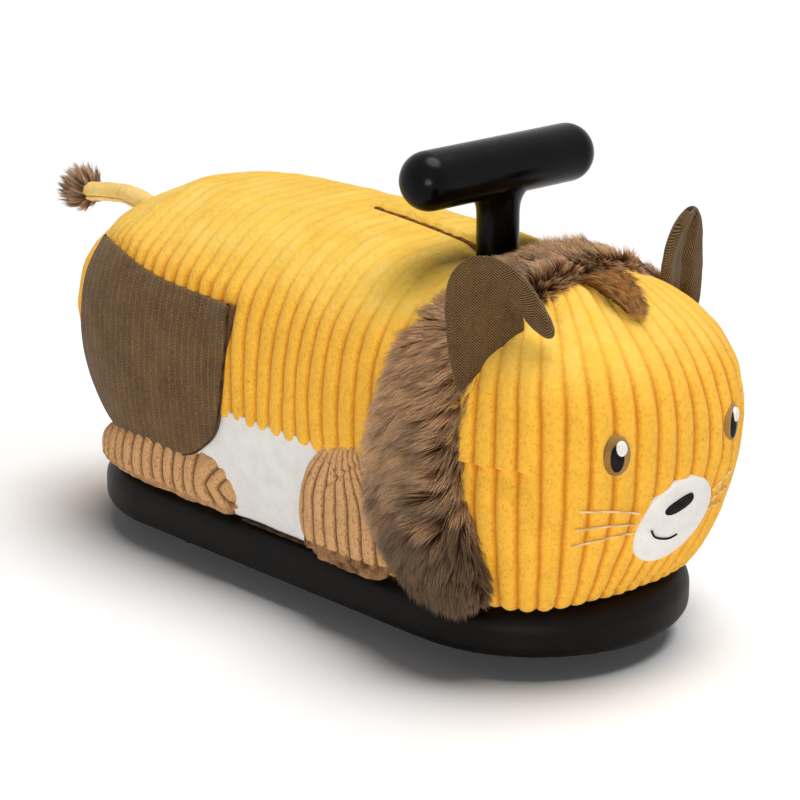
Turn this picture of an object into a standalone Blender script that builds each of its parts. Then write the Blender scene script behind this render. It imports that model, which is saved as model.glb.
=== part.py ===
"""A soft ride-on animal: a stuffed corduroy body on a moulded platform with four twin-wheel casters.

Units are metres and +Z is up. The toy stands on the floor plane z = 0 and looks along -Y, so its
right side is -X. Sizes are taken from the middle of the platform. The last step moves the whole toy
along Y, so that its origin lies on the floor under the middle of its outline.
"""

import math

import bmesh
import bpy
from mathutils import Matrix, Vector

# Clearances
TOUCH_GAP = 0.0003
WHEEL_SIDE_GAP = 0.0004
BORE_GAP = 0.0003
CUT_OVERRUN = 0.010

# Platform plate and the soft rim around it
RIM_LENGTH = 0.518
RIM_WIDTH = 0.214
RIM_GROUND_CLEARANCE = 0.017
RIM_HEIGHT = 0.033
RIM_TOP_ROUND = 0.014
RIM_BOTTOM_ROUND = 0.010
RIM_LAND = 0.008
PLATE_EDGE_COVER = 0.0142
PLATE_THICKNESS = 0.009
OUTLINE_STEPS = 14

# Casters: places of the pivots, and the headings that their trails point to at rest
CASTER_PIVOTS = {
    "front_left": (0.037, -0.187),
    "front_right": (-0.037, -0.187),
    "rear_left": (0.052, 0.140),
    "rear_right": (-0.052, 0.140),
}
CASTER_HEADINGS = {
    "front_left": 160.0,
    "front_right": -40.0,
    "rear_left": -15.0,
    "rear_right": 145.0,
}
WHEEL_DIAMETER = 0.032
WHEEL_WIDTH = 0.009
WHEEL_SHOULDER = 0.0025
WHEEL_DISH = 0.0015
TRAIL = 0.013
AXLE_DIAMETER = 0.004
PIN_DIAMETER = 0.005
PIN_GRIP_IN_FORK = 0.016
SOCKET_DIAMETER = 0.014
SOCKET_LENGTH = 0.015
SPIGOT_DIAMETER = 0.010
SPIGOT_COVER = 0.002
FORK_BARREL_DIAMETER = 0.013
FORK_HUB_DIAMETER = 0.010
FORK_ARM_WIDTH = 0.0104
FORK_ARM_HEIGHT = 0.0086
FORK_WEB_WIDTH = 0.0088
FORK_WEB_GAP = 0.002
FORK_FLOOR = 0.003
FENDER_GAP = 0.0018
FENDER_THICKNESS = 0.0016
FENDER_START = 35.0
FENDER_END = 104.0

# Handle: a tee that slides over a steel post, which is screwed to the plate by its flange
HANDLE_Y = -0.1148
GRIP_DIAMETER = 0.040
GRIP_LENGTH = 0.1625
GRIP_END_ROUND = 0.018
GRIP_AXIS_HEIGHT = 0.3165
NECK_DIAMETER = 0.029
NECK_BOTTOM = 0.165
NECK_FILLET = 0.006
POST_DIAMETER = 0.022
POST_WALL = 0.002
POST_TOP = 0.300
FLANGE_DIAMETER = 0.056
FLANGE_THICKNESS = 0.004
FLANGE_COLLAR_WALL = 0.003
FLANGE_COLLAR_HEIGHT = 0.014
FLANGE_SCREW_CIRCLE = 0.042
FLANGE_SCREW_DIAMETER = 0.005
FLANGE_SCREW_HEAD_DIAMETER = 0.009
FLANGE_SCREW_HEAD_HEIGHT = 0.003
FLANGE_SCREW_DEPTH = 0.008
CROSS_BOLT_HEIGHT = 0.185
CROSS_BOLT_DIAMETER = 0.005
CROSS_BOLT_HEAD_DIAMETER = 0.0085
CROSS_BOLT_HEAD_HEIGHT = 0.0025

# Stuffed body
COVER_THICKNESS = 0.0025
TORSO_FRONT = -0.150
SEAT_HEIGHT = 0.257
RUMP_RISE = 0.019
RUMP_Y = 0.070
RUMP_SPREAD = 0.105
# Each level of the torso: share of the height, half width, rearmost point
TORSO_LEVELS = (
    (0.00, 0.100, 0.240),
    (0.12, 0.109, 0.253),
    (0.40, 0.1160, 0.297),
    (0.70, 0.1130, 0.297),
    (0.90, 0.0880, 0.254),
    (0.985, 0.0470, 0.200),
)
TORSO_END_SHARE = 1.05
HEAD_BEND = -0.200
HEAD_TOP = 0.262
# Each level of the head: share of the height, half width, foremost point
HEAD_LEVELS = (
    (0.00, 0.090, -0.246),
    (0.12, 0.102, -0.266),
    (0.40, 0.1150, -0.2945),
    (0.69, 0.1115, -0.295),
    (0.89, 0.0820, -0.263),
    (0.98, 0.0420, -0.230),
)
HEAD_SQUARENESS = 0.86
CROWN_MIDDLE = 0.6
SLIT_BACK = 0.008
SLIT_WIDTH = 0.0016

# Belly panel in its window on each side
BELLY_FRONT = -0.098
BELLY_BACK = 0.075
BELLY_TOP = 0.130
BELLY_REACH_IN = 0.070

# Side pocket: its outline on the side of the toy as (y, z)
POCKET_THICKNESS = 0.0022
POCKET_OUTLINE = (
    (0.032, 0.209),
    (0.075, 0.2100),
    (0.125, 0.2125),
    (0.178, 0.2200),
    (0.2055, 0.2225),
    (0.2125, 0.2000),
    (0.2145, 0.1800),
    (0.2140, 0.1400),
    (0.2040, 0.1090),
    (0.180, 0.0890),
    (0.130, 0.0838),
    (0.086, 0.0904),
    (0.062, 0.1029),
    (0.047, 0.1188),
)

# Legs: the rear one is a roll along the platform's edge, the front one a pad that stands on it
REAR_LEG_FRONT = 0.038
REAR_LEG_TURN = 38.0
REAR_LEG_HEIGHT = 0.052
REAR_LEG_BULGE = 0.011
# From the paw to the rump: shares of the leg's full height and of its full bulge
REAR_LEG_SHARES = (
    (0.80, 0.75),
    (1.00, 1.00),
    (1.00, 1.00),
    (0.95, 1.00),
    (0.86, 0.92),
    (0.72, 0.80),
    (0.50, 0.55),
)
FRONT_LEG_BULGE = 0.011
# The front leg's outline on the side of the toy as (y, z), from the lower front corner upwards
FRONT_LEG_OUTLINE = (
    (-0.126, 0.058),
    (-0.132, 0.096),
    (-0.122, 0.133),
    (-0.094, 0.145),
    (-0.062, 0.138),
    (-0.040, 0.108),
    (-0.036, 0.078),
    (-0.040, 0.056),
    (-0.082, 0.053),
)
LEG_DEPTH_INSIDE = 0.012

# Mane: a fur collar over the seam between torso and head
MANE_RISE = 0.019
MANE_SINK = 0.012
# Stations up one side: x on the body, share of the head's height, front and back edges of the collar
MANE_STATIONS = (
    (0.098, 0.0094, -0.228, -0.118),
    (0.111, 0.2170, -0.206, -0.109),
    (0.112, 0.5189, -0.197, -0.113),
    (0.093, 0.7925, -0.200, -0.129),
    (0.054, 0.9434, -0.205, -0.141),
    (0.000, 0.9906, -0.208, -0.142),
)
# Height, as a share of the head's, that the collar's pile points away from
MANE_HEART = 0.33

# Tail and its tuft
TAIL_DIAMETER = 0.015
# Points of its middle line: y, and how far below the seat's height
TAIL_LINE = ((0.262, 0.037), (0.290, 0.033), (0.318, 0.035), (0.344, 0.039))
TUFT_PLACE = (0.356, 0.0405)
TUFT_LENGTH = 0.036
TUFT_HEIGHT = 0.038
TUFT_WIDTH = 0.034
TUFT_TILT = -10.0

# Ears: rows of (outer edge, inner edge) from foot to tip, with x as a distance from the middle.
# The right ear's tip is folded forwards and down, the left ear's stands up.
EAR_THICKNESS = 0.010
EAR_CUP = 0.010
RIGHT_EAR_ROWS = (
    ((0.112, -0.190, 0.179), (0.060, -0.206, 0.224)),
    ((0.126, -0.194, 0.231), (0.065, -0.212, 0.246)),
    ((0.128, -0.190, 0.268), (0.069, -0.215, 0.251)),
    ((0.119, -0.193, 0.291), (0.072, -0.218, 0.252)),
    ((0.102, -0.209, 0.299), (0.0755, -0.219, 0.249)),
    ((0.086, -0.226, 0.284), (0.077, -0.221, 0.244)),
    ((0.078, -0.240, 0.260), (0.077, -0.228, 0.2415)),
    ((0.077, -0.247, 0.242), (0.077, -0.242, 0.239)),
)
LEFT_EAR_ROWS = (
    ((0.100, -0.196, 0.182), (0.049, -0.208, 0.224)),
    ((0.106, -0.204, 0.218), (0.049, -0.213, 0.241)),
    ((0.106, -0.205, 0.249), (0.051, -0.213, 0.261)),
    ((0.103, -0.207, 0.269), (0.058, -0.213, 0.278)),
    ((0.096, -0.210, 0.283), (0.071, -0.214, 0.289)),
    ((0.089, -0.212, 0.292), (0.084, -0.213, 0.294)),
)

# Face: each patch is an oval on the front of the head, as (x, z), width, height and turn
PATCH_THICKNESS = 0.0014
MUZZLE_CENTRE = (0.0018, 0.1115)
MUZZLE_SIZE = (0.0675, 0.0620)
NOSE_CENTRE = (-0.003, 0.1256)
NOSE_SIZE = (0.0255, 0.0105)
EYE_CENTRE = (0.0545, 0.1672)
EYE_SIZE = (0.0178, 0.0275)
FORELOCK_Y = -0.228
FORELOCK_DEPTH = 0.0035
FORELOCK_SIZE = (0.034, 0.050, 0.016)
FORELOCK_TILT = 24.0

# Figures worked out from the sizes above
RIM_TOP = RIM_GROUND_CLEARANCE + RIM_HEIGHT
RIM_RADIUS = RIM_WIDTH / 2
RIM_HALF_STRAIGHT = (RIM_LENGTH - RIM_WIDTH) / 2
PLATE_RADIUS = RIM_RADIUS - PLATE_EDGE_COVER
PLATE_BOTTOM = RIM_TOP - PLATE_THICKNESS
WELL_RADIUS = RIM_RADIUS - RIM_BOTTOM_ROUND - RIM_LAND
FLOOR_OF_BODY = RIM_TOP + TOUCH_GAP
WHEEL_RADIUS = WHEEL_DIAMETER / 2
SOCKET_BOTTOM = PLATE_BOTTOM - SOCKET_LENGTH
BARREL_TOP = SOCKET_BOTTOM - TOUCH_GAP
PIN_BOTTOM = BARREL_TOP - PIN_GRIP_IN_FORK
WHEEL_INNER_FACE = SOCKET_DIAMETER / 2 + 0.001
FORK_HUB_HALF = WHEEL_INNER_FACE - WHEEL_SIDE_GAP
FLANGE_BOTTOM = RIM_TOP + TOUCH_GAP
FLANGE_TOP = FLANGE_BOTTOM + FLANGE_THICKNESS
COLLAR_TOP = FLANGE_TOP + FLANGE_COLLAR_HEIGHT
TAIL_ROUTE = [(0.0, y, SEAT_HEIGHT - below) for y, below in TAIL_LINE]
TUFT_CENTRE = (0.0, TUFT_PLACE[0], SEAT_HEIGHT - TUFT_PLACE[1])
FORELOCK_CENTRE = (0.0, FORELOCK_Y, HEAD_TOP - FORELOCK_DEPTH)


def clear_scene():
    for obj in list(bpy.data.objects):
        bpy.data.objects.remove(obj, do_unlink=True)


def new_collection(name):
    collection = bpy.data.collections.new(name)
    bpy.context.scene.collection.children.link(collection)
    return collection


def material(name, red, green, blue, roughness, metallic=0.0):
    made = bpy.data.materials.new(name)
    made.use_nodes = True
    shader = made.node_tree.nodes["Principled BSDF"]
    shader.inputs["Base Color"].default_value = (red, green, blue, 1.0)
    shader.inputs["Roughness"].default_value = roughness
    shader.inputs["Metallic"].default_value = metallic
    made.diffuse_color = (red, green, blue, 1.0)
    return made


clear_scene()
PARTS = new_collection("ride_on_animal")
CUTTERS = new_collection("cutters")
BLACK_RUBBER = material("black_rubber", 0.012, 0.012, 0.013, 0.5)
BLACK_PLASTIC = material("black_plastic", 0.008, 0.008, 0.009, 0.3)
GREY_NYLON = material("grey_nylon", 0.05, 0.05, 0.055, 0.45)
STEEL = material("zinc_steel", 0.55, 0.56, 0.58, 0.35, 1.0)
YELLOW_CORDUROY = material("yellow_corduroy", 0.90, 0.45, 0.035, 0.9)
BROWN_CORDUROY = material("brown_corduroy", 0.36, 0.20, 0.10, 0.9)
OLIVE_LINEN = material("olive_linen", 0.11, 0.08, 0.045, 0.9)
BROWN_FUR = material("brown_fur", 0.20, 0.11, 0.06, 0.95)
WHITE_VELBOA = material("white_velboa", 0.80, 0.79, 0.77, 0.9)
BLACK_THREAD = material("black_thread", 0.01, 0.009, 0.009, 0.8)
FOAM = material("foam", 0.75, 0.73, 0.62, 0.95)

TOY = bpy.data.objects.new("toy", None)
PARTS.objects.link(TOY)


def add_empty(name, parent, location):
    empty = bpy.data.objects.new(name, None)
    PARTS.objects.link(empty)
    empty.parent = parent
    empty.location = location
    return empty


def add_part(name, mesh, finish, parent=None, location=(0, 0, 0), rotation=(0, 0, 0)):
    """A piece of the toy, which becomes one node."""
    part = bpy.data.objects.new(name, mesh)
    PARTS.objects.link(part)
    part.parent = parent or TOY
    part.location = location
    part.rotation_euler = rotation
    part.data.materials.append(finish)
    return part


def add_cutter(name, mesh, location=(0, 0, 0), rotation=(0, 0, 0)):
    """A helper that shapes other pieces and isn't one itself."""
    helper = bpy.data.objects.new(name, mesh)
    CUTTERS.objects.link(helper)
    helper.parent = TOY
    helper.location = location
    helper.rotation_euler = rotation
    helper.hide_render = True
    helper.display_type = "WIRE"
    return helper


def combine(part, operation, other, solver="EXACT"):
    step = part.modifiers.new(f"{operation.lower()} {other.name}", "BOOLEAN")
    step.operation = operation
    step.object = other
    step.solver = solver


def cut(part, *cutters, solver="EXACT"):
    for cutter in cutters:
        combine(part, "DIFFERENCE", cutter, solver)


def join(part, *others):
    for other in others:
        combine(part, "UNION", other)


def keep_inside(part, limit):
    combine(part, "INTERSECT", limit)


def smooth(part, angle=40.0):
    part.data.shade_smooth()
    part.data.set_sharp_from_angle(angle=math.radians(angle))


def finish_mesh(name, bm):
    bmesh.ops.recalc_face_normals(bm, faces=bm.faces)
    mesh = bpy.data.meshes.new(name)
    bm.to_mesh(mesh)
    bm.free()
    return mesh


# Plain solids


def stadium(half_straight, radius, steps=OUTLINE_STEPS):
    """A long outline with half-round ends at -Y and +Y, anticlockwise from above."""
    points = []
    for end, first in ((half_straight, 0.0), (-half_straight, math.pi)):
        for step in range(steps + 1):
            angle = first + math.pi * step / steps
            points.append((radius * math.cos(angle), end + radius * math.sin(angle)))
    return points


def slab_mesh(name, outline, bottom, top, bottom_round=0.0, top_round=0.0, segments=4):
    """An upright slab on the outline, with its two rims rounded."""
    bm = bmesh.new()
    floor = bm.faces.new([bm.verts.new((x, y, bottom)) for x, y in outline])
    grown = bmesh.ops.extrude_face_region(bm, geom=[floor])["geom"]
    lifted = [item for item in grown if isinstance(item, bmesh.types.BMVert)]
    bmesh.ops.translate(bm, verts=lifted, vec=(0, 0, top - bottom))
    bmesh.ops.recalc_face_normals(bm, faces=bm.faces)
    for height, width in ((bottom, bottom_round), (top, top_round)):
        if width:
            edges = [e for e in bm.edges if all(abs(v.co.z - height) < 1e-7 for v in e.verts)]
            bmesh.ops.bevel(
                bm, geom=edges, offset=width, segments=segments, profile=0.5, affect="EDGES"
            )
    return finish_mesh(name, bm)


def box_mesh(name, low, high):
    bm = bmesh.new()
    bmesh.ops.create_cube(bm, size=1.0)
    size = Vector(high) - Vector(low)
    middle = (Vector(high) + Vector(low)) / 2
    bmesh.ops.transform(bm, matrix=Matrix.Translation(middle) @ Matrix.Diagonal((*size, 1)), verts=bm.verts)
    return finish_mesh(name, bm)


def rods_mesh(name, rods, sides=20):
    """Upright rods that don't touch each other, each as (x, y, bottom, top, radius)."""
    bm = bmesh.new()
    for x, y, bottom, top, radius in rods:
        bmesh.ops.create_cone(
            bm,
            cap_ends=True,
            segments=sides,
            radius1=radius,
            radius2=radius,
            depth=top - bottom,
            matrix=Matrix.Translation((x, y, (top + bottom) / 2)),
        )
    return finish_mesh(name, bm)


def turn(part, steps):
    """Turns the profile of a part about its own Z axis."""
    spin = part.modifiers.new("turn", "SCREW")
    spin.axis = "Z"
    spin.angle = 2 * math.pi
    spin.steps = steps
    spin.render_steps = steps
    spin.use_merge_vertices = True
    spin.merge_threshold = 0.0001
    spin.use_smooth_shade = True


def profile_mesh(name, points, closed=False):
    """A profile of (radius, height) points, whose outer side runs from top to bottom."""
    mesh = bpy.data.meshes.new(name)
    edges = [(i, i + 1) for i in range(len(points) - 1)]
    if closed:
        edges.append((len(points) - 1, 0))
    mesh.from_pydata([(radius, 0.0, height) for radius, height in points], edges, [])
    return mesh


def arc(centre_r, centre_z, radius, start, end, steps):
    """Points along an arc in a profile, from one angle to the other, in degrees."""
    points = []
    for step in range(steps + 1):
        angle = math.radians(start + (end - start) * step / steps)
        points.append((centre_r + radius * math.cos(angle), centre_z + radius * math.sin(angle)))
    return points


# Platform


def make_platform():
    rim = add_part(
        "base_rim",
        slab_mesh(
            "base_rim",
            stadium(RIM_HALF_STRAIGHT, RIM_RADIUS),
            RIM_GROUND_CLEARANCE,
            RIM_TOP,
            RIM_BOTTOM_ROUND,
            RIM_TOP_ROUND,
        ),
        BLACK_RUBBER,
    )
    well = add_cutter(
        "rim_well",
        slab_mesh(
            "rim_well",
            stadium(RIM_HALF_STRAIGHT, WELL_RADIUS),
            RIM_GROUND_CLEARANCE - CUT_OVERRUN,
            RIM_TOP + CUT_OVERRUN,
        ),
    )
    rebate = add_cutter(
        "rim_rebate",
        slab_mesh(
            "rim_rebate",
            stadium(RIM_HALF_STRAIGHT, PLATE_RADIUS + TOUCH_GAP),
            PLATE_BOTTOM - TOUCH_GAP,
            RIM_TOP + CUT_OVERRUN,
        ),
    )
    cut(rim, well, rebate)
    smooth(rim)

    plate = add_part(
        "base_plate",
        slab_mesh("base_plate", stadium(RIM_HALF_STRAIGHT, PLATE_RADIUS), PLATE_BOTTOM, RIM_TOP),
        BLACK_PLASTIC,
    )
    hole = SPIGOT_DIAMETER / 2 + BORE_GAP
    bores = [
        (x, y, PLATE_BOTTOM - CUT_OVERRUN, RIM_TOP - SPIGOT_COVER + TOUCH_GAP, hole)
        for x, y in CASTER_PIVOTS.values()
    ]
    screw_hole = FLANGE_SCREW_DIAMETER / 2 + BORE_GAP
    screw_end = RIM_TOP - FLANGE_SCREW_DEPTH - TOUCH_GAP
    bores += [
        (x, y, screw_end, RIM_TOP + CUT_OVERRUN, screw_hole) for x, y in flange_screw_places()
    ]
    cut(plate, add_cutter("plate_bores", rods_mesh("plate_bores", bores, 12)))
    smooth(plate)


def flange_screw_places():
    """The four corners of a square on the flange's screw circle."""
    reach = FLANGE_SCREW_CIRCLE / 2 * math.sqrt(0.5)
    return [(sx * reach, HANDLE_Y + sy * reach) for sx in (-1, 1) for sy in (-1, 1)]


# Casters


def wheel_profile():
    """From the tread's edge down the outer side, and back up the bore."""
    half = WHEEL_WIDTH / 2
    bore = AXLE_DIAMETER / 2 + BORE_GAP
    hub = FORK_HUB_DIAMETER / 2
    rim = WHEEL_RADIUS - WHEEL_SHOULDER
    tread = arc(rim, half - WHEEL_SHOULDER, WHEEL_SHOULDER, 90, 0, 2)
    tread += arc(rim, WHEEL_SHOULDER - half, WHEEL_SHOULDER, 0, -90, 2)
    dish = [(hub + WHEEL_DISH, half - WHEEL_DISH), (rim - WHEEL_DISH, half - WHEEL_DISH)]
    return tread + [(bore, -half), (bore, half), (hub, half)] + dish


def fender_mesh():
    """A curved plate over both wheels, as the band between two arcs about the axle."""
    bm = bmesh.new()
    inner = WHEEL_RADIUS + FENDER_GAP
    outer = inner + FENDER_THICKNESS
    side = WHEEL_INNER_FACE + WHEEL_WIDTH
    steps = 5
    rows = []
    for step in range(steps + 1):
        angle = math.radians(FENDER_START + (FENDER_END - FENDER_START) * step / steps)
        row = []
        for x, radius in ((-side, inner), (side, inner), (side, outer), (-side, outer)):
            y = TRAIL + radius * math.cos(angle)
            z = WHEEL_RADIUS + radius * math.sin(angle)
            row.append(bm.verts.new((x, y, z)))
        rows.append(row)
    for low, high in zip(rows, rows[1:]):
        for i in range(4):
            j = (i + 1) % 4
            bm.faces.new((low[i], low[j], high[j], high[i]))
    bm.faces.new(rows[0])
    bm.faces.new(rows[-1])
    return finish_mesh("fork_fender", bm)


def settled_mesh(part):
    """The part's mesh with its modifiers carried out, for pieces that share it."""
    graph = bpy.context.evaluated_depsgraph_get()
    return bpy.data.meshes.new_from_object(part.evaluated_get(graph))


def fork_mesh():
    """Barrel round the pin, arm, hub round the axle, and the fender on its web."""
    barrel_bottom = PIN_BOTTOM - FORK_FLOOR
    arm_half = FORK_ARM_WIDTH / 2
    arm_low = WHEEL_RADIUS - FORK_ARM_HEIGHT / 2
    arm_high = WHEEL_RADIUS + FORK_ARM_HEIGHT / 2
    web_half = FORK_WEB_WIDTH / 2
    web_top = 2 * WHEEL_RADIUS + FENDER_GAP + FENDER_THICKNESS / 2
    lying = (0, math.pi / 2, 0)
    axle_at = (0, TRAIL, WHEEL_RADIUS)
    pin_bore = PIN_DIAMETER / 2 + BORE_GAP
    axle_bore = AXLE_DIAMETER / 2 + BORE_GAP
    fork = add_cutter(
        "fork_barrel", rods_mesh("fork", [(0, 0, barrel_bottom, BARREL_TOP, FORK_BARREL_DIAMETER / 2)], 14)
    )
    arm = box_mesh("fork_arm", (-arm_half, 0, arm_low), (arm_half, TRAIL, arm_high))
    web = box_mesh(
        "fork_web",
        (-web_half, SOCKET_DIAMETER / 2 + FORK_WEB_GAP, WHEEL_RADIUS),
        (web_half, TRAIL + FORK_WEB_GAP, web_top),
    )
    hub = rods_mesh("fork_hub", [(0, 0, -FORK_HUB_HALF, FORK_HUB_HALF, FORK_HUB_DIAMETER / 2)], 12)
    upright = rods_mesh("pin_bore", [(0, 0, PIN_BOTTOM - TOUCH_GAP, BARREL_TOP + CUT_OVERRUN, pin_bore)], 12)
    across = rods_mesh("axle_bore", [(0, 0, -TRAIL * 2, TRAIL * 2, axle_bore)], 10)
    join(
        fork,
        add_cutter("fork_arm", arm),
        add_cutter("fork_web", web),
        add_cutter("fork_hub", hub, axle_at, lying),
        add_cutter("fork_fender", fender_mesh()),
    )
    cut(fork, add_cutter("pin_bore", upright), add_cutter("axle_bore", across, axle_at, lying))
    return settled_mesh(fork)


def make_caster(place, shared_fork):
    x, y = CASTER_PIVOTS[place]
    pivot = add_empty(f"caster_{place}_pivot", TOY, (x, y, 0))
    pivot.rotation_euler.z = math.radians(CASTER_HEADINGS[place])
    sleeve = SOCKET_DIAMETER / 2
    spigot = SPIGOT_DIAMETER / 2
    bore = PIN_DIAMETER / 2 + BORE_GAP
    top = RIM_TOP - SPIGOT_COVER
    bore_top = top - SPIGOT_COVER
    shoulder = PLATE_BOTTOM - TOUCH_GAP
    socket_profile = [
        (0, top),
        (spigot, top),
        (spigot, shoulder),
        (sleeve, shoulder),
        (sleeve, SOCKET_BOTTOM),
        (bore, SOCKET_BOTTOM),
        (bore, bore_top),
        (0, bore_top),
    ]
    socket = add_part(
        f"caster_{place}_socket", profile_mesh("caster_socket", socket_profile), GREY_NYLON, None, (x, y, 0)
    )
    turn(socket, 14)
    pin_length = bore_top - TOUCH_GAP - PIN_BOTTOM
    pin = rods_mesh("caster_pin", [(0, 0, PIN_BOTTOM, PIN_BOTTOM + pin_length, PIN_DIAMETER / 2)], 12)
    smooth(add_part(f"caster_{place}_pin", pin, STEEL, None, (x, y, 0)))
    smooth(add_part(f"caster_{place}_fork", shared_fork, GREY_NYLON, pivot))
    lying = (0, math.pi / 2, 0)
    axle_at = (0, TRAIL, WHEEL_RADIUS)
    axle_half = WHEEL_INNER_FACE + WHEEL_WIDTH - WHEEL_DISH
    axle = rods_mesh("caster_axle", [(0, 0, -axle_half, axle_half, AXLE_DIAMETER / 2)], 12)
    smooth(add_part(f"caster_{place}_axle", axle, STEEL, pivot, axle_at, lying))
    offset = WHEEL_INNER_FACE + WHEEL_WIDTH / 2
    for letter, side in (("a", -1), ("b", 1)):
        wheel = add_part(
            f"caster_{place}_wheel_{letter}",
            profile_mesh("caster_wheel", wheel_profile(), closed=True),
            BLACK_RUBBER,
            pivot,
            (side * offset, TRAIL, WHEEL_RADIUS),
            lying,
        )
        turn(wheel, 16)


# Handle


def make_handle():
    half = GRIP_LENGTH / 2
    radius = GRIP_DIAMETER / 2
    core = radius - GRIP_END_ROUND
    grip_profile = [(0, half)] + arc(core, half - GRIP_END_ROUND, GRIP_END_ROUND, 90, 0, 4)
    grip_profile += arc(core, GRIP_END_ROUND - half, GRIP_END_ROUND, 0, -90, 4) + [(0, -half)]
    grip = add_part(
        "handle_grip",
        profile_mesh("handle_grip", grip_profile),
        BLACK_PLASTIC,
        None,
        (0, HANDLE_Y, GRIP_AXIS_HEIGHT),
        (0, math.pi / 2, 0),
    )
    turn(grip, 20)
    neck_radius = NECK_DIAMETER / 2
    fillet_bottom = GRIP_AXIS_HEIGHT - radius - NECK_FILLET
    flare = [
        (neck_radius + NECK_FILLET - reach, height)
        for reach, height in arc(0, fillet_bottom, NECK_FILLET, 90, 0, 4)
    ]
    neck_profile = [
        (0, GRIP_AXIS_HEIGHT),
        (neck_radius + NECK_FILLET * 0.9, GRIP_AXIS_HEIGHT),
    ]
    neck_profile += [(neck_radius + NECK_FILLET * 0.9, fillet_bottom + NECK_FILLET * 1.6)]
    neck_profile += [(r, z) for r, z in flare if r < neck_radius + NECK_FILLET * 0.85]
    neck_profile += [(neck_radius, NECK_BOTTOM), (0, NECK_BOTTOM)]
    neck = add_cutter("grip_neck", profile_mesh("grip_neck", neck_profile), (0, HANDLE_Y, 0))
    turn(neck, 20)
    post_hole = POST_DIAMETER / 2 + BORE_GAP
    bore = add_cutter(
        "grip_bore",
        rods_mesh("grip_bore", [(0, HANDLE_Y, NECK_BOTTOM - CUT_OVERRUN, POST_TOP + TOUCH_GAP, post_hole)]),
    )
    bolt_hole_radius = CROSS_BOLT_DIAMETER / 2 + BORE_GAP
    bolt_hole = add_cutter(
        "cross_bolt_hole",
        rods_mesh("cross_bolt_hole", [(0, 0, -0.05, 0.05, bolt_hole_radius)], 12),
        (0, HANDLE_Y, CROSS_BOLT_HEIGHT),
        (math.pi / 2, math.radians(15), 0),
    )
    join(grip, neck)
    cut(grip, bore, bolt_hole)
    smooth(grip, 35)

    post_radius = POST_DIAMETER / 2
    post_bottom = RIM_TOP + TOUCH_GAP
    post_profile = [
        (post_radius, POST_TOP),
        (post_radius, post_bottom),
        (post_radius - POST_WALL, post_bottom),
        (post_radius - POST_WALL, POST_TOP),
    ]
    post = add_part(
        "handle_post", profile_mesh("handle_post", post_profile, closed=True), STEEL, None, (0, HANDLE_Y, 0)
    )
    turn(post, 20)
    cut(post, bolt_hole)

    collar = post_hole + FLANGE_COLLAR_WALL
    flange_profile = [
        (collar, COLLAR_TOP),
        (collar, FLANGE_TOP),
        (FLANGE_DIAMETER / 2, FLANGE_TOP),
        (FLANGE_DIAMETER / 2, FLANGE_BOTTOM),
        (post_hole, FLANGE_BOTTOM),
        (post_hole, COLLAR_TOP),
    ]
    flange = add_part(
        "handle_flange", profile_mesh("handle_flange", flange_profile, closed=True), STEEL, None, (0, HANDLE_Y, 0)
    )
    turn(flange, 18)
    screw_hole = FLANGE_SCREW_DIAMETER / 2 + BORE_GAP
    holes = [
        (x, y, FLANGE_BOTTOM - CUT_OVERRUN, FLANGE_TOP + CUT_OVERRUN, screw_hole)
        for x, y in flange_screw_places()
    ]
    cut(flange, add_cutter("flange_holes", rods_mesh("flange_holes", holes, 10)))

    head_low = FLANGE_TOP + TOUCH_GAP
    head_high = head_low + FLANGE_SCREW_HEAD_HEIGHT
    head_radius = FLANGE_SCREW_HEAD_DIAMETER / 2
    shank = FLANGE_SCREW_DIAMETER / 2
    tip = RIM_TOP - FLANGE_SCREW_DEPTH
    screw_profile = [
        (0, head_high),
        (head_radius * 0.6, head_high),
        (head_radius, head_low + FLANGE_SCREW_HEAD_HEIGHT * 0.4),
        (head_radius, head_low),
        (shank, head_low),
        (shank, tip + shank),
        (0, tip),
    ]
    for number, (x, y) in enumerate(flange_screw_places(), 1):
        screw = add_part(
            f"flange_screw_{number}", profile_mesh("flange_screw", screw_profile), STEEL, None, (x, y, 0)
        )
        turn(screw, 10)

    bolt_head = CROSS_BOLT_HEAD_DIAMETER / 2
    bolt_shank = CROSS_BOLT_DIAMETER / 2
    under_head = neck_radius + TOUCH_GAP
    bolt_profile = [
        (0, under_head + CROSS_BOLT_HEAD_HEIGHT),
        (bolt_head * 0.7, under_head + CROSS_BOLT_HEAD_HEIGHT),
        (bolt_head, under_head),
        (bolt_shank, under_head),
        (bolt_shank, -neck_radius),
        (0, -neck_radius),
    ]
    bolt = add_part(
        "handle_cross_bolt",
        profile_mesh("handle_cross_bolt", bolt_profile),
        STEEL,
        None,
        (0, HANDLE_Y, CROSS_BOLT_HEIGHT),
        (math.pi / 2, 0, 0),
    )
    turn(bolt, 12)


# Stuffed forms


def half_outline(half_width, flat_end, bend, round_end, squareness):
    """One side of a level: along the flat end, up the side to the bend, then round to the middle."""
    points = [(0.0, flat_end), (CROWN_MIDDLE * half_width, flat_end), (half_width, flat_end)]
    for share in (1 / 2, 1):
        points.append((half_width, flat_end + share * (bend - flat_end)))
    for degrees in (30, 60):
        across = math.cos(math.radians(degrees)) ** squareness
        along = math.sin(math.radians(degrees)) ** squareness
        points.append((half_width * across, bend + (round_end - bend) * along))
    points.append((0.0, round_end))
    return points


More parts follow.
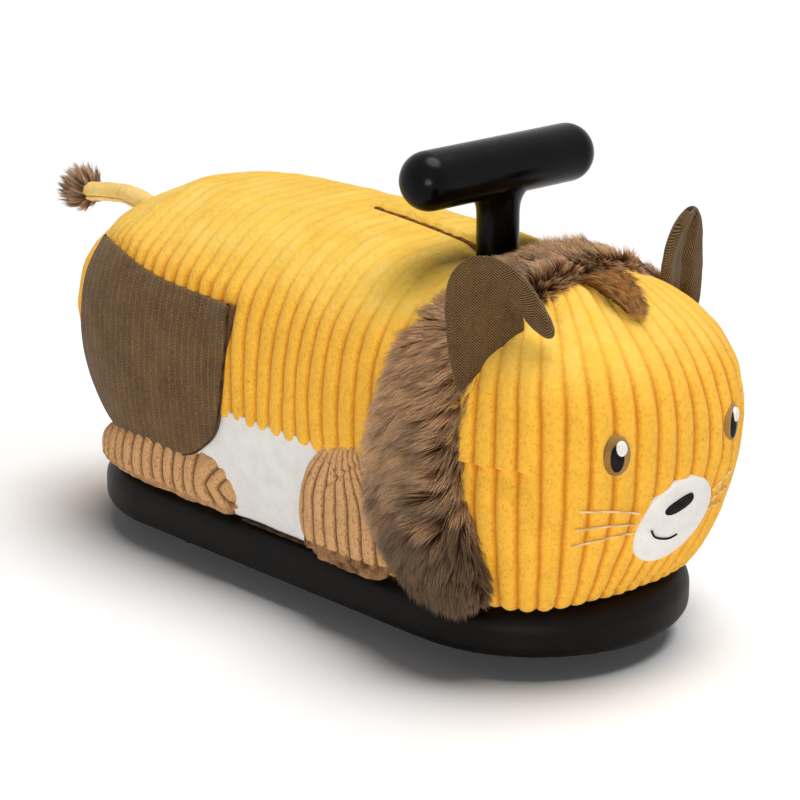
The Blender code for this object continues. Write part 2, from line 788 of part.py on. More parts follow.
def ladder(bm, ring, last, height_at=None):
    """Closes a ring with rungs from side to side. height_at lifts the rungs' inner points."""
    def mirrored(i):
        return ring[2 * last - i]

    rungs = [[ring[2], ring[1], ring[0], mirrored(1), mirrored(2)]]
    for i in range(3, last):
        right, left = ring[i], mirrored(i)
        rung = [right]
        for share in (CROWN_MIDDLE, 0.0, -CROWN_MIDDLE):
            x, y, z = right.co.x * share, right.co.y, right.co.z
            if height_at:
                z = height_at(x, y, abs(share))
            rung.append(bm.verts.new((x, y, z)))
        rung.append(left)
        rungs.append(rung)
    for near, far in zip(rungs, rungs[1:]):
        for i in range(4):
            bm.faces.new((near[i], near[i + 1], far[i + 1], far[i]))
    for i in range(4):
        bm.faces.new((rungs[-1][i], rungs[-1][i + 1], ring[last]))


def levelled_mesh(name, levels, height_at, drop):
    """A closed cage through the half outlines of its levels, mirrored in X = 0, over any drop."""
    if drop:
        below = [[(x, y, z - by) for x, y, z in levels[0]] for by in (drop, TOUCH_GAP)]
        levels = below + levels[1:]
    bm = bmesh.new()
    creases = bm.edges.layers.float.new("crease_edge")
    last = len(levels[0]) - 1
    rings = []
    for level in levels:
        right = [bm.verts.new(point) for point in level]
        left = [bm.verts.new((-x, y, z)) for x, y, z in level[1:-1]]
        rings.append(right + left[::-1])
    for low, high in zip(rings, rings[1:]):
        for i in range(len(low)):
            j = (i + 1) % len(low)
            bm.faces.new((low[i], low[j], high[j], high[i]))
    for edge in bm.edges:
        if max(vert.co.z for vert in edge.verts) <= FLOOR_OF_BODY + TOUCH_GAP / 2:
            edge[creases] = 1.0
    ladder(bm, rings[0], last)
    ladder(bm, rings[-1], last, height_at)
    return finish_mesh(name, bm)


def subdivide(part, levels=1):
    step = part.modifiers.new("swell", "SUBSURF")
    step.levels = levels
    step.render_levels = levels
    part.data.shade_smooth()


def seat_height(y):
    """The height of the torso's top along its middle: level at the front, fuller over the rump."""
    return SEAT_HEIGHT + RUMP_RISE * math.exp(-(((y - RUMP_Y) / RUMP_SPREAD) ** 2))


def torso_mesh(name, inset=0.0, drop=0.0):
    """The torso's form, drawn in by the inset. A drop lengthens it downwards, for a cutter."""
    levels = []
    for share, half_width, rear in TORSO_LEVELS:
        half = half_width - inset
        back = rear - inset
        bend = back - half * TORSO_END_SHARE
        level = []
        for x, y in half_outline(half, TORSO_FRONT + inset, bend, back, 1.0):
            z = FLOOR_OF_BODY + share * (seat_height(y) - inset - FLOOR_OF_BODY)
            level.append((x, y, z))
        levels.append(level)

    def crown(x, y, share):
        return seat_height(y) - inset - 0.0012 * share

    return levelled_mesh(name, levels, crown, drop)


def head_mesh(name, inset=0.0, drop=0.0):
    """The head's form, drawn in by the inset. A drop lengthens it downwards, for a cutter."""
    back = TORSO_FRONT - TOUCH_GAP - inset
    levels = []
    for share, half_width, front in HEAD_LEVELS:
        z = FLOOR_OF_BODY + share * (HEAD_TOP - inset - FLOOR_OF_BODY)
        outline = half_outline(half_width - inset, back, HEAD_BEND, front + inset, HEAD_SQUARENESS)
        levels.append([(x, y, z) for x, y in outline])

    def crown(x, y, share):
        forward = max(0.0, (HEAD_BEND - y) / 0.03)
        return HEAD_TOP - inset - 0.0012 * share - 0.002 * forward

    return levelled_mesh(name, levels, crown, drop)


def form_part(name, mesh, finish):
    part = add_part(name, mesh, finish)
    subdivide(part)
    return part


def form_cutter(name, mesh):
    helper = add_cutter(name, mesh)
    subdivide(helper)
    return helper


def outline_prism(name, outline, low, high):
    """A prism along X on an outline of (y, z)."""
    bm = bmesh.new()
    face = bm.faces.new([bm.verts.new((low, y, z)) for y, z in outline])
    grown = bmesh.ops.extrude_face_region(bm, geom=[face])["geom"]
    moved = [item for item in grown if isinstance(item, bmesh.types.BMVert)]
    bmesh.ops.translate(bm, verts=moved, vec=(high - low, 0, 0))
    return finish_mesh(name, bm)


def keyhole_outline():
    """The post's hole in the cover with the slit that runs back from it, anticlockwise from above."""
    radius = NECK_DIAMETER / 2 + TOUCH_GAP
    half_slit = SLIT_WIDTH / 2
    opening = math.asin(half_slit / radius)
    steps = 20
    points = []
    for step in range(steps + 1):
        angle = math.pi / 2 + opening + (2 * math.pi - 2 * opening) * step / steps
        points.append((radius * math.cos(angle), HANDLE_Y + radius * math.sin(angle)))
    return points + [(half_slit, SLIT_BACK), (-half_slit, SLIT_BACK)]


def make_torso(handle_void):
    foam = form_part("torso_foam", torso_mesh("torso_foam", COVER_THICKNESS + TOUCH_GAP), FOAM)
    cut(foam, handle_void)
    cover = form_part("torso_cover", torso_mesh("torso_cover"), YELLOW_CORDUROY)
    inside = form_cutter("cover_inside", torso_mesh("cover_inside", COVER_THICKNESS, CUT_OVERRUN))
    hole_low = SEAT_HEIGHT - NECK_DIAMETER
    hole_high = SEAT_HEIGHT + NECK_DIAMETER
    keyhole = add_cutter("cover_keyhole", slab_mesh("cover_keyhole", keyhole_outline(), hole_low, hole_high))
    windows = []
    for side in (-1, 1):
        low, high = sorted((side * BELLY_REACH_IN, side * (RIM_RADIUS + CUT_OVERRUN)))
        windows.append(
            add_cutter(
                f"belly_window_{'left' if side > 0 else 'right'}",
                box_mesh(
                    "belly_window",
                    (low, BELLY_FRONT, FLOOR_OF_BODY - CUT_OVERRUN),
                    (high, BELLY_BACK, BELLY_TOP),
                ),
            )
        )
    # The exact solver leaves open edges where the cover's two near-parallel skins meet the floor
    cut(cover, inside, keyhole, *windows, solver="MANIFOLD")
    for side, word in ((-1, "right"), (1, "left")):
        panel = form_part(f"belly_panel_{word}", torso_mesh("belly_panel"), WHITE_VELBOA)
        low, high = sorted((side * BELLY_REACH_IN, side * (RIM_RADIUS + CUT_OVERRUN)))
        pane = add_cutter(
            f"belly_pane_{word}",
            box_mesh(
                "belly_pane",
                (low, BELLY_FRONT + TOUCH_GAP, FLOOR_OF_BODY - CUT_OVERRUN),
                (high, BELLY_BACK - TOUCH_GAP, BELLY_TOP - TOUCH_GAP),
            ),
        )
        keep_inside(panel, pane)
        cut(panel, inside)


def make_head():
    form_part("head_foam", head_mesh("head_foam", COVER_THICKNESS + TOUCH_GAP), FOAM)
    cover = form_part("head_cover", head_mesh("head_cover"), YELLOW_CORDUROY)
    inside = form_cutter("head_inside", head_mesh("head_inside", COVER_THICKNESS, CUT_OVERRUN))
    cut(cover, inside, solver="MANIFOLD")


def make_pockets(torso_clear):
    rear_clear = []
    skin = POCKET_THICKNESS + TOUCH_GAP
    for side, word in ((-1, "right"), (1, "left")):
        low, high = sorted((side * BELLY_REACH_IN, side * (RIM_RADIUS + CUT_OVERRUN)))
        prism = add_cutter(
            f"pocket_prism_{word}", outline_prism("pocket_prism", POCKET_OUTLINE, low, high)
        )
        pocket = form_part(f"side_pocket_{word}", torso_mesh("side_pocket", -skin), OLIVE_LINEN)
        keep_inside(pocket, prism)
        cut(pocket, torso_clear)
        room = form_cutter(f"pocket_room_{word}", torso_mesh("pocket_room", -skin - TOUCH_GAP))
        grown = add_cutter(
            f"pocket_grown_{word}",
            outline_prism("pocket_grown", grown_outline(POCKET_OUTLINE, TOUCH_GAP * 2), low, high),
        )
        keep_inside(room, grown)
        rear_clear.append(room)
    return rear_clear


def grown_outline(outline, by):
    """The outline pushed out from its middle by a small amount."""
    middle = Vector((sum(p[0] for p in outline), sum(p[1] for p in outline))) / len(outline)
    grown = []
    for point in outline:
        away = Vector(point) - middle
        grown.append(tuple(middle + away * (1 + by / away.length)))
    return grown


def ring_surface(bm, rings, closed_ends=True):
    """Skins rings of equal length one after another and closes the first and the last."""
    for low, high in zip(rings, rings[1:]):
        for i in range(len(low)):
            j = (i + 1) % len(low)
            bm.faces.new((low[i], low[j], high[j], high[i]))
    if closed_ends:
        bm.faces.new(rings[0])
        bm.faces.new(rings[-1])


def rear_leg_mesh(side):
    """A roll along the rim's outline, from the side towards the back, that swells and tapers."""
    bm = bmesh.new()
    line = RIM_RADIUS - 0.003
    straight = RIM_HALF_STRAIGHT - REAR_LEG_FRONT
    turned = math.radians(REAR_LEG_TURN) * line
    stations = len(REAR_LEG_SHARES) - 1
    rings = []
    for station, (height_share, fullness) in enumerate(REAR_LEG_SHARES):
        along = (straight + turned) * station / stations
        if along < straight:
            middle = Vector((line, REAR_LEG_FRONT + along, 0))
            out = Vector((1, 0, 0))
        else:
            angle = (along - straight) / line
            out = Vector((math.cos(angle), math.sin(angle), 0))
            middle = out * line + Vector((0, RIM_HALF_STRAIGHT, 0))
        height = REAR_LEG_HEIGHT * height_share
        section = (
            (-LEG_DEPTH_INSIDE, -0.002),
            (-REAR_LEG_BULGE * 0.2, 0.001),
            (REAR_LEG_BULGE * 0.95 * fullness, height * 0.22),
            (REAR_LEG_BULGE * fullness, height * 0.62),
            (REAR_LEG_BULGE * 0.35 * fullness, height * 0.98),
            (-LEG_DEPTH_INSIDE, height),
        )
        ring = []
        for reach, lift in section:
            point = middle + out * reach
            ring.append(bm.verts.new((side * point.x, point.y, FLOOR_OF_BODY + lift)))
        rings.append(ring)
    ring_surface(bm, rings)
    return finish_mesh("rear_leg", bm)


def front_leg_mesh(side):
    """An upright pad with a round top, domed away from the body."""
    bm = bmesh.new()
    middle_y = sum(y for y, _ in FRONT_LEG_OUTLINE) / len(FRONT_LEG_OUTLINE)
    middle_z = sum(z for _, z in FRONT_LEG_OUTLINE) / len(FRONT_LEG_OUTLINE)
    rings = []
    for reach, size in ((-LEG_DEPTH_INSIDE, 1.0), (0.0, 1.0), (0.8, 0.9), (1.0, 0.45)):
        away = reach if reach <= 0 else reach * FRONT_LEG_BULGE
        ring = []
        for y, z in FRONT_LEG_OUTLINE:
            place = (side * (RIM_RADIUS + away), middle_y + (y - middle_y) * size, middle_z + (z - middle_z) * size)
            ring.append(bm.verts.new(place))
        rings.append(ring)
    ring_surface(bm, rings)
    return finish_mesh("front_leg", bm)


def make_legs(torso_clear, pocket_rooms, mane_room, deck_clear):
    for (side, word), pocket_room in zip(((-1, "right"), (1, "left")), pocket_rooms):
        rear = add_part(f"rear_leg_{word}", rear_leg_mesh(side), BROWN_CORDUROY)
        subdivide(rear)
        cut(rear, torso_clear, pocket_room, deck_clear)
        front = add_part(f"front_leg_{word}", front_leg_mesh(side), BROWN_CORDUROY)
        subdivide(front)
        cut(front, torso_clear, mane_room, deck_clear)


def mane_mesh(name, grow=0.0):
    """The fur collar: an arch of lens-shaped sections from rim to rim. grow makes room for it."""
    bm = bmesh.new()
    stations = list(MANE_STATIONS)
    stations += [(-x, share, front, back) for x, share, front, back in MANE_STATIONS[-2::-1]]
    head_height = HEAD_TOP - RIM_TOP
    centre = Vector((0, RIM_TOP + MANE_HEART * head_height))
    rings = []
    for x, share, front, back in stations:
        z = RIM_TOP + share * head_height
        out = (Vector((x, z)) - centre).normalized()
        middle = (front + back) / 2
        half = (back - front) / 2 + grow
        section = (
            (-half, -MANE_SINK - grow),
            (-half * 0.92, MANE_RISE * 0.55 + grow),
            (0.0, MANE_RISE * 1.12 + grow),
            (half * 0.92, MANE_RISE * 0.5 + grow),
            (half, -MANE_SINK - grow),
        )
        ring = []
        for along, reach in section:
            ring.append(bm.verts.new((x + out.x * reach, middle + along, z + out.y * reach)))
        rings.append(ring)
    ring_surface(bm, rings)
    return finish_mesh(name, bm)


def ear_mesh(side, rows):
    """A thin leaf through its rows, cupped so that both of its edges come forward."""
    bm = bmesh.new()
    rings = []
    for number, (outer, inner) in enumerate(rows):
        outer = Vector(outer)
        inner = Vector(inner)
        after = [sum((Vector(p) for p in row), Vector()) / 2 for row in rows[max(0, number - 1) : number + 2]]
        across = outer - inner
        facing = across.cross(after[-1] - after[0]).normalized()
        if number and facing.dot(last_facing) < 0:
            facing = -facing
        elif not number and facing.y > 0:
            facing = -facing
        last_facing = facing
        middle = (outer + inner) / 2
        thick = EAR_THICKNESS / 2 * min(1.0, across.length / EAR_THICKNESS)
        cup = EAR_CUP * min(1.0, across.length / 0.05)
        ring = []
        for wide, deep in ((-1, 0), (-0.55, 1), (0.55, 1), (1, 0), (0.55, -1), (-0.55, -1)):
            bow = cup * (wide**2 - 0.6)
            point = middle + across * (wide / 2) + facing * (deep * thick + bow)
            ring.append(bm.verts.new((side * point.x, point.y, point.z)))
        rings.append(ring)
    ring_surface(bm, rings)
    return finish_mesh("ear", bm)


def ball_mesh(name, size, segments=8, rings=6):
    bm = bmesh.new()
    bmesh.ops.create_uvsphere(bm, u_segments=segments, v_segments=rings, radius=0.5)
    bmesh.ops.scale(bm, vec=size, verts=bm.verts)
    return finish_mesh(name, bm)


def tube_mesh(name, route, radius, resolution=2):
    """A round tube with closed ends on a smooth line through the route's points, as a mesh."""
    curve = bpy.data.curves.new(name, "CURVE")
    curve.dimensions = "3D"
    curve.bevel_depth = radius
    curve.bevel_resolution = resolution
    curve.use_fill_caps = True
    curve.resolution_u = 2
    spline = curve.splines.new("BEZIER")
    spline.bezier_points.add(len(route) - 1)
    for point, place in zip(spline.bezier_points, route):
        point.co = place
        point.handle_left_type = "AUTO"
        point.handle_right_type = "AUTO"
    guide = bpy.data.objects.new(name, curve)
    CUTTERS.objects.link(guide)
    graph = bpy.context.evaluated_depsgraph_get()
    mesh = bpy.data.meshes.new_from_object(guide.evaluated_get(graph))
    bpy.data.objects.remove(guide, do_unlink=True)
    bm = bmesh.new()
    bm.from_mesh(mesh)
    bmesh.ops.remove_doubles(bm, verts=bm.verts, dist=1e-6)
    bpy.data.meshes.remove(mesh)
    return finish_mesh(name, bm)


def make_tail(torso_clear):
    tail = add_part("tail", tube_mesh("tail", TAIL_ROUTE, TAIL_DIAMETER / 2), YELLOW_CORDUROY)
    tail.data.shade_smooth()
    cut(tail, torso_clear)
    tuft = add_part(
        "tail_tuft",
        ball_mesh("tail_tuft", (TUFT_WIDTH, TUFT_LENGTH, TUFT_HEIGHT)),
        BROWN_FUR,
        None,
        TUFT_CENTRE,
        (math.radians(TUFT_TILT), 0, 0),
    )
    tuft.data.shade_smooth()
    end = Vector(TAIL_ROUTE[-1])
    before = Vector(TAIL_ROUTE[-2])
    longer = [*TAIL_ROUTE[:-1], tuple(end + (end - before).normalized() * TOUCH_GAP)]
    room = add_cutter("tail_room", tube_mesh("tail_room", longer, TAIL_DIAMETER / 2 + TOUCH_GAP))
    cut(tuft, room)


def oval_prism(name, centre, size, sides=16):
    """A prism along Y whose outline is an oval of the given width and height."""
    bm = bmesh.new()
    depth = 0.12
    bmesh.ops.create_cone(
        bm, cap_ends=True, segments=sides, radius1=0.5, radius2=0.5, depth=depth
    )
    bmesh.ops.rotate(bm, matrix=Matrix.Rotation(math.pi / 2, 3, "X"), verts=bm.verts)
    bmesh.ops.scale(bm, vec=(size[0], 1, size[1]), verts=bm.verts)
    front = min(front for _, _, front in HEAD_LEVELS)
    bmesh.ops.translate(bm, vec=(centre[0], front + depth / 4, centre[1]), verts=bm.verts)
    return finish_mesh(name, bm)


def head_patch(name, centre, size, lift, finish):
    """A thin piece that follows the front of the head, at a lift above its cover."""
    patch = form_part(name, head_mesh(name, -lift - PATCH_THICKNESS), finish)
    keep_inside(patch, add_cutter(f"{name}_prism", oval_prism(name, centre, size)))
    cut(patch, form_cutter(f"{name}_back", head_mesh(name, -lift)))


def make_face():
    head_patch("muzzle_patch", MUZZLE_CENTRE, MUZZLE_SIZE, TOUCH_GAP, WHITE_VELBOA)
    nose_lift = TOUCH_GAP + PATCH_THICKNESS + TOUCH_GAP
    head_patch("nose_patch", NOSE_CENTRE, NOSE_SIZE, nose_lift, BLACK_THREAD)
    for side, word in ((-1, "right"), (1, "left")):
        centre = (side * EYE_CENTRE[0], EYE_CENTRE[1])
        head_patch(f"eye_{word}", centre, EYE_SIZE, TOUCH_GAP, BLACK_THREAD)


def make_soft_parts():
    neck_room = NECK_DIAMETER / 2 + CROSS_BOLT_HEAD_HEIGHT + 0.003
    void_profile = [
        (0, SEAT_HEIGHT + 0.03),
        (NECK_DIAMETER / 2 + TOUCH_GAP, SEAT_HEIGHT + 0.03),
        (NECK_DIAMETER / 2 + TOUCH_GAP, CROSS_BOLT_HEIGHT + 0.015),
        (neck_room, CROSS_BOLT_HEIGHT + 0.010),
        (neck_room, NECK_BOTTOM - 0.004),
        (POST_DIAMETER / 2 + 0.006, NECK_BOTTOM - 0.008),
        (POST_DIAMETER / 2 + 0.006, FLANGE_TOP + 0.008),
        (FLANGE_DIAMETER / 2 + 0.002, FLANGE_TOP + 0.005),
        (FLANGE_DIAMETER / 2 + 0.002, FLOOR_OF_BODY - CUT_OVERRUN),
        (0, FLOOR_OF_BODY - CUT_OVERRUN),
    ]
    handle_void = add_cutter(
        "handle_void", profile_mesh("handle_void", void_profile), (0, HANDLE_Y, 0)
    )
    turn(handle_void, 24)
    make_torso(handle_void)
    make_head()
    torso_clear = form_cutter("torso_clear", torso_mesh("torso_clear", -TOUCH_GAP, CUT_OVERRUN))
    head_clear = form_cutter("head_clear", head_mesh("head_clear", -TOUCH_GAP, CUT_OVERRUN))
    deck_clear = add_cutter(
        "deck_clear",
        box_mesh("deck_clear", (-RIM_WIDTH, -RIM_LENGTH, -RIM_TOP), (RIM_WIDTH, RIM_LENGTH, FLOOR_OF_BODY)),
    )
    pocket_rooms = make_pockets(torso_clear)
    mane_room = form_cutter("mane_room", mane_mesh("mane_room", 3 * TOUCH_GAP))
    make_legs(torso_clear, pocket_rooms, mane_room, deck_clear)
    mane = add_part("mane", mane_mesh("mane"), BROWN_FUR)
    subdivide(mane)
    cut(mane, torso_clear, head_clear, deck_clear)
    make_face()
    for side, word, rows in ((-1, "right", RIGHT_EAR_ROWS), (1, "left", LEFT_EAR_ROWS)):
        ear = add_part(f"ear_{word}", ear_mesh(side, rows), OLIVE_LINEN)
        subdivide(ear)
        cut(ear, head_clear, mane_room)
    make_tail(torso_clear)
    forelock = add_part(
        "forelock",
        ball_mesh("forelock", FORELOCK_SIZE),
        BROWN_FUR,
        None,
        FORELOCK_CENTRE,
        (math.radians(FORELOCK_TILT), 0, 0),
    )
    forelock.data.shade_smooth()
    cut(forelock, head_clear)


def stand_on_origin():
    """Moves the toy along Y, so that the middle of its outline lies over the origin."""
    graph = bpy.context.evaluated_depsgraph_get()
    reach = []
    for part in PARTS.objects:
        if part.type != "EMPTY":
            evaluated = part.evaluated_get(graph)
            reach += [(evaluated.matrix_world @ vert.co).y for vert in evaluated.data.vertices]
    TOY.location.y = -(min(reach) + max(reach)) / 2


make_platform()
caster_fork = fork_mesh()
for caster_place in CASTER_PIVOTS:
    make_caster(caster_place, caster_fork)
make_handle()
make_soft_parts()
stand_on_origin()
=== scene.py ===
"""Looks of a soft ride-on animal: ribbed covers, pile, fur and a black platform on casters."""

import math

import bmesh
import bpy
import numpy as np
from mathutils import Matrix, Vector
from mathutils.bvhtree import BVHTree
from mathutils.kdtree import KDTree


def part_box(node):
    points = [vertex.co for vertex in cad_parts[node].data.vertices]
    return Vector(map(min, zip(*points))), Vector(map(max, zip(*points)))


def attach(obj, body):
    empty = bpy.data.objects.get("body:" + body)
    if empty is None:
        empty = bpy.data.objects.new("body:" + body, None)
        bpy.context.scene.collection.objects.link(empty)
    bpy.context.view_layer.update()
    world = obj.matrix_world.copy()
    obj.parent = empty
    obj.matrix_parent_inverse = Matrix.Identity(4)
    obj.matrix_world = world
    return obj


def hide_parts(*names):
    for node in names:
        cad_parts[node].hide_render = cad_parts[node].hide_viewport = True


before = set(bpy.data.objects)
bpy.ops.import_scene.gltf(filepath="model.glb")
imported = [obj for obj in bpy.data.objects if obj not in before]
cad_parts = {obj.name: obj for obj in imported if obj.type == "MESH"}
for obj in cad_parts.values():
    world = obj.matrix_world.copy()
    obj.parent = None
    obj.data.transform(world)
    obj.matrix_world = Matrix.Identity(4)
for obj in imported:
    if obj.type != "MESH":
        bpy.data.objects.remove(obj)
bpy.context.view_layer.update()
RIM_LOW, RIM_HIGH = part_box("base_rim")
# Every size below is in metres in the toy's own frame, which stands this far along Y
TOY_SHIFT = (RIM_LOW.y + RIM_HIGH.y) / 2
RIM_TOP = RIM_HIGH.z
RIM_RADIUS = (RIM_HIGH.x - RIM_LOW.x) / 2
RIM_HALF_STRAIGHT = (RIM_HIGH.y - RIM_LOW.y) / 2 - RIM_RADIUS
FLOOR_OF_BODY = RIM_TOP + 0.0003

# Torso. Each level has its share of the height, its half width and its rear end
TORSO_FRONT = -0.150
SEAT_HEIGHT = 0.257
RUMP_RISE = 0.019
RUMP_Y = 0.070
RUMP_SPREAD = 0.105
TORSO_LEVELS = (
    (0.00, 0.100, 0.240),
    (0.12, 0.109, 0.253),
    (0.40, 0.1160, 0.297),
    (0.70, 0.1130, 0.297),
    (0.90, 0.0880, 0.254),
    (0.985, 0.0470, 0.200),
)
TORSO_TURN_Y = 0.174
COVER_FRONT = TORSO_FRONT + 0.0004
HANDLE_Y = -0.1148
BAR_HEIGHT = 0.3165
NECK_RADIUS = 0.0145
NECK_FOOT = 0.165
SLIT_BACK = 0.008

# Head. Each level has its share of the height, its half width and its front end
HEAD_BACK = -0.1503
HEAD_BEND = -0.200
HEAD_TOP = 0.262
HEAD_LEVELS = (
    (0.00, 0.090, -0.246),
    (0.12, 0.102, -0.266),
    (0.40, 0.1150, -0.2945),
    (0.69, 0.1115, -0.295),
    (0.89, 0.0820, -0.263),
    (0.98, 0.0420, -0.230),
)
HEAD_SQUARENESS = 0.86
HEAD_FAN_Y = -0.1515
DART_HEIGHT = 0.157

# The covers' columns lie in upright half planes, where rays towards this height find the form
HUB_HEIGHT = 0.150
# Corduroy: the wales along each side, round the rump and over the head, and how far one stands proud
TORSO_WALES = 23
END_WALES = 26
HEAD_WALES = 27
WALE_HEIGHT = 0.0026
# Where across one wale a column of the mesh runs, from groove to groove
WALE_COLUMNS = (0.0, 0.04, 0.12, 0.25, 0.40, 0.60, 0.75, 0.88, 0.96)

# The belly's opening, and the pocket round from its top front corner
BELLY_FRONT = -0.098
BELLY_BACK = 0.075
BELLY_TOP = 0.130
POCKET_OUTLINE = (
    (0.032, 0.209),
    (0.075, 0.2100),
    (0.125, 0.2125),
    (0.178, 0.2200),
    (0.2055, 0.2225),
    (0.2125, 0.2000),
    (0.2145, 0.1800),
    (0.2140, 0.1400),
    (0.2040, 0.1090),
    (0.180, 0.0890),
    (0.130, 0.0838),
    (0.086, 0.0904),
    (0.062, 0.1029),
    (0.047, 0.1188),
    (0.0385, 0.1500),
)
POCKET_TOP_POINTS = 5
LOOSE_CORNER = (0.034, 0.208)

# Legs
LEG_WALE = 0.0122
FRONT_LEG_OUTLINE = (
    (-0.130, 0.050),
    (-0.133, 0.096),
    (-0.122, 0.133),
    (-0.094, 0.145),
    (-0.062, 0.138),
    (-0.040, 0.108),
    (-0.036, 0.078),
    (-0.040, 0.052),
    (-0.084, 0.046),
)
REAR_LEG_FRONT = 0.038
REAR_LEG_HEIGHT = 0.052
# From the paw to the rump: shares of the rear leg's full height and of its full bulge
REAR_LEG_SHARES = (
    (0.80, 0.75),
    (1.00, 1.00),
    (1.00, 1.00),
    (0.95, 1.00),
    (0.86, 0.92),
    (0.72, 0.80),
    (0.50, 0.55),
)

# Face: eye centres, whiskers as (first x, first z, last z), and the mouth
EYES = {"right": (-0.0545, 0.1672), "left": (0.0500, 0.1672)}
WHISKERS = ((0.034, 0.1250, 0.132), (0.0345, 0.1170, 0.119), (0.034, 0.1110, 0.1068))
WHISKER_ENDS = {"right": 0.0735, "left": 0.060}
SMILE = ((-0.0225, 0.1118), (-0.0180, 0.1066), (-0.0115, 0.1036), (-0.0035, 0.1018), (0.0030, 0.1030))

# Mane, from one foot to the crest: x, share of the head's height, front and back
MANE_STATIONS = (
    (0.098, 0.0094, -0.228, -0.118),
    (0.111, 0.2170, -0.206, -0.109),
    (0.112, 0.5189, -0.197, -0.113),
    (0.093, 0.7925, -0.200, -0.129),
    (0.054, 0.9434, -0.205, -0.141),
    (0.000, 0.9906, -0.208, -0.142),
)
MANE_STRANDS = 86000
MANE_PIECES = 8
# How far out to each side its strands stand before they are pressed in, and how low they reach
MANE_REACH = 0.127
MANE_FLOOR = 0.041
# Where the points of one strand of fur lie along it
STRAND_SHARES = (0.0, 0.34, 0.70, 1.0)

# Ears from foot to tip, as the outer and the inner edge of each row. The right one is folded over
RIGHT_EAR_ROWS = (
    ((0.112, -0.190, 0.179), (0.060, -0.206, 0.224)),
    ((0.126, -0.194, 0.231), (0.065, -0.212, 0.246)),
    ((0.128, -0.190, 0.268), (0.069, -0.215, 0.251)),
    ((0.119, -0.193, 0.291), (0.072, -0.218, 0.252)),
    ((0.102, -0.209, 0.299), (0.0755, -0.219, 0.249)),
    ((0.086, -0.226, 0.284), (0.077, -0.221, 0.244)),
    ((0.078, -0.240, 0.260), (0.077, -0.228, 0.2415)),
    ((0.077, -0.247, 0.242), (0.077, -0.242, 0.239)),
)
LEFT_EAR_ROWS = (
    ((0.100, -0.196, 0.182), (0.049, -0.208, 0.224)),
    ((0.106, -0.204, 0.218), (0.049, -0.213, 0.241)),
    ((0.106, -0.205, 0.249), (0.051, -0.213, 0.261)),
    ((0.103, -0.207, 0.269), (0.058, -0.213, 0.278)),
    ((0.096, -0.210, 0.283), (0.071, -0.214, 0.289)),
    ((0.089, -0.212, 0.292), (0.084, -0.213, 0.294)),
)

# Tail: how far below the seat's height it runs
TAIL_LINE = ((0.255, 0.0385), (0.262, 0.037), (0.290, 0.033), (0.318, 0.035), (0.346, 0.039))
SIDES = ((-1, "right"), (1, "left"))
# The noise that shapes the cloth repeats after this many lumps
NOISE_CELLS = 32


# Numbers and noise


def linear(colour):
    """An sRGB hex colour as linear red, green, blue and alpha."""
    parts = [int(colour[i : i + 2], 16) / 255 for i in (0, 2, 4)]
    return (*[c / 12.92 if c <= 0.04045 else ((c + 0.055) / 1.055) ** 2.4 for c in parts], 1.0)


def ease(low, high, value):
    """0 up to low, 1 from high on, and a smooth step between them."""
    part = np.clip((np.asarray(value, float) - low) / (high - low), 0, 1)
    return part * part * (3 - 2 * part)


def hump(value, middle, width):
    """1 at the middle and less on both sides, with a smooth bell's slopes."""
    return np.exp(-(((value - middle) / width) ** 2))


def drift(points, lump, seed):
    """Smooth noise from -1 to 1 at the points, with lumps of the given size."""
    cells = np.random.default_rng(seed).uniform(-1, 1, (NOISE_CELLS, NOISE_CELLS, NOISE_CELLS))
    at = np.asarray(points, float) / lump + 200.3
    low = np.floor(at).astype(int)
    part = at - low
    part = part * part * (3 - 2 * part)
    total = 0
    for corner in np.ndindex(2, 2, 2):
        share = np.prod(np.where(corner, part, 1 - part), axis=-1)
        i, j, k = ((low[..., axis] + corner[axis]) % NOISE_CELLS for axis in range(3))
        total = total + share * cells[i, j, k]
    return total


def unit(vectors):
    return vectors / np.maximum(np.linalg.norm(vectors, axis=-1, keepdims=True), 1e-12)


def smooth_line(points, steps):
    """A line of the given number of steps through the points, rounded between them."""
    points = np.asarray(points, float)
    last = len(points) - 1
    at = np.linspace(0, last, steps)
    i = np.minimum(at.astype(int), last - 1)
    t = (at - i)[:, None]
    a, b, c, d = (points[np.clip(i + k, 0, last)] for k in (-1, 0, 1, 2))
    return 0.5 * (2 * b + (c - a) * t + (2 * a - 5 * b + 4 * c - d) * t**2 + (3 * b - a - 3 * c + d) * t**3)


# Meshes


def net(rows, columns, round_columns=False):
    """Quads between neighbours in a grid of points that is numbered row by row."""
    i, j = np.meshgrid(np.arange(rows - 1), np.arange(columns - (not round_columns)), indexing="ij")
    a = i * columns + j
    b = i * columns + (j + 1) % columns
    return np.stack([a, b, b + columns, a + columns], axis=-1).reshape(-1, 4)


def fan(hub, ring):
    """Triangles from one point to the ring of points round it."""
    ring = np.asarray(ring)
    return np.stack([np.full(len(ring), hub), ring, np.roll(ring, -1)], axis=-1)


def closed_net(rows, columns):
    """Faces of a round grid whose two ends close on the two points that follow the grid's own."""
    total = rows * columns
    ends = fan(total, np.arange(columns)), fan(total + 1, np.arange(total - columns, total))
    return [net(rows, columns, True), *ends]


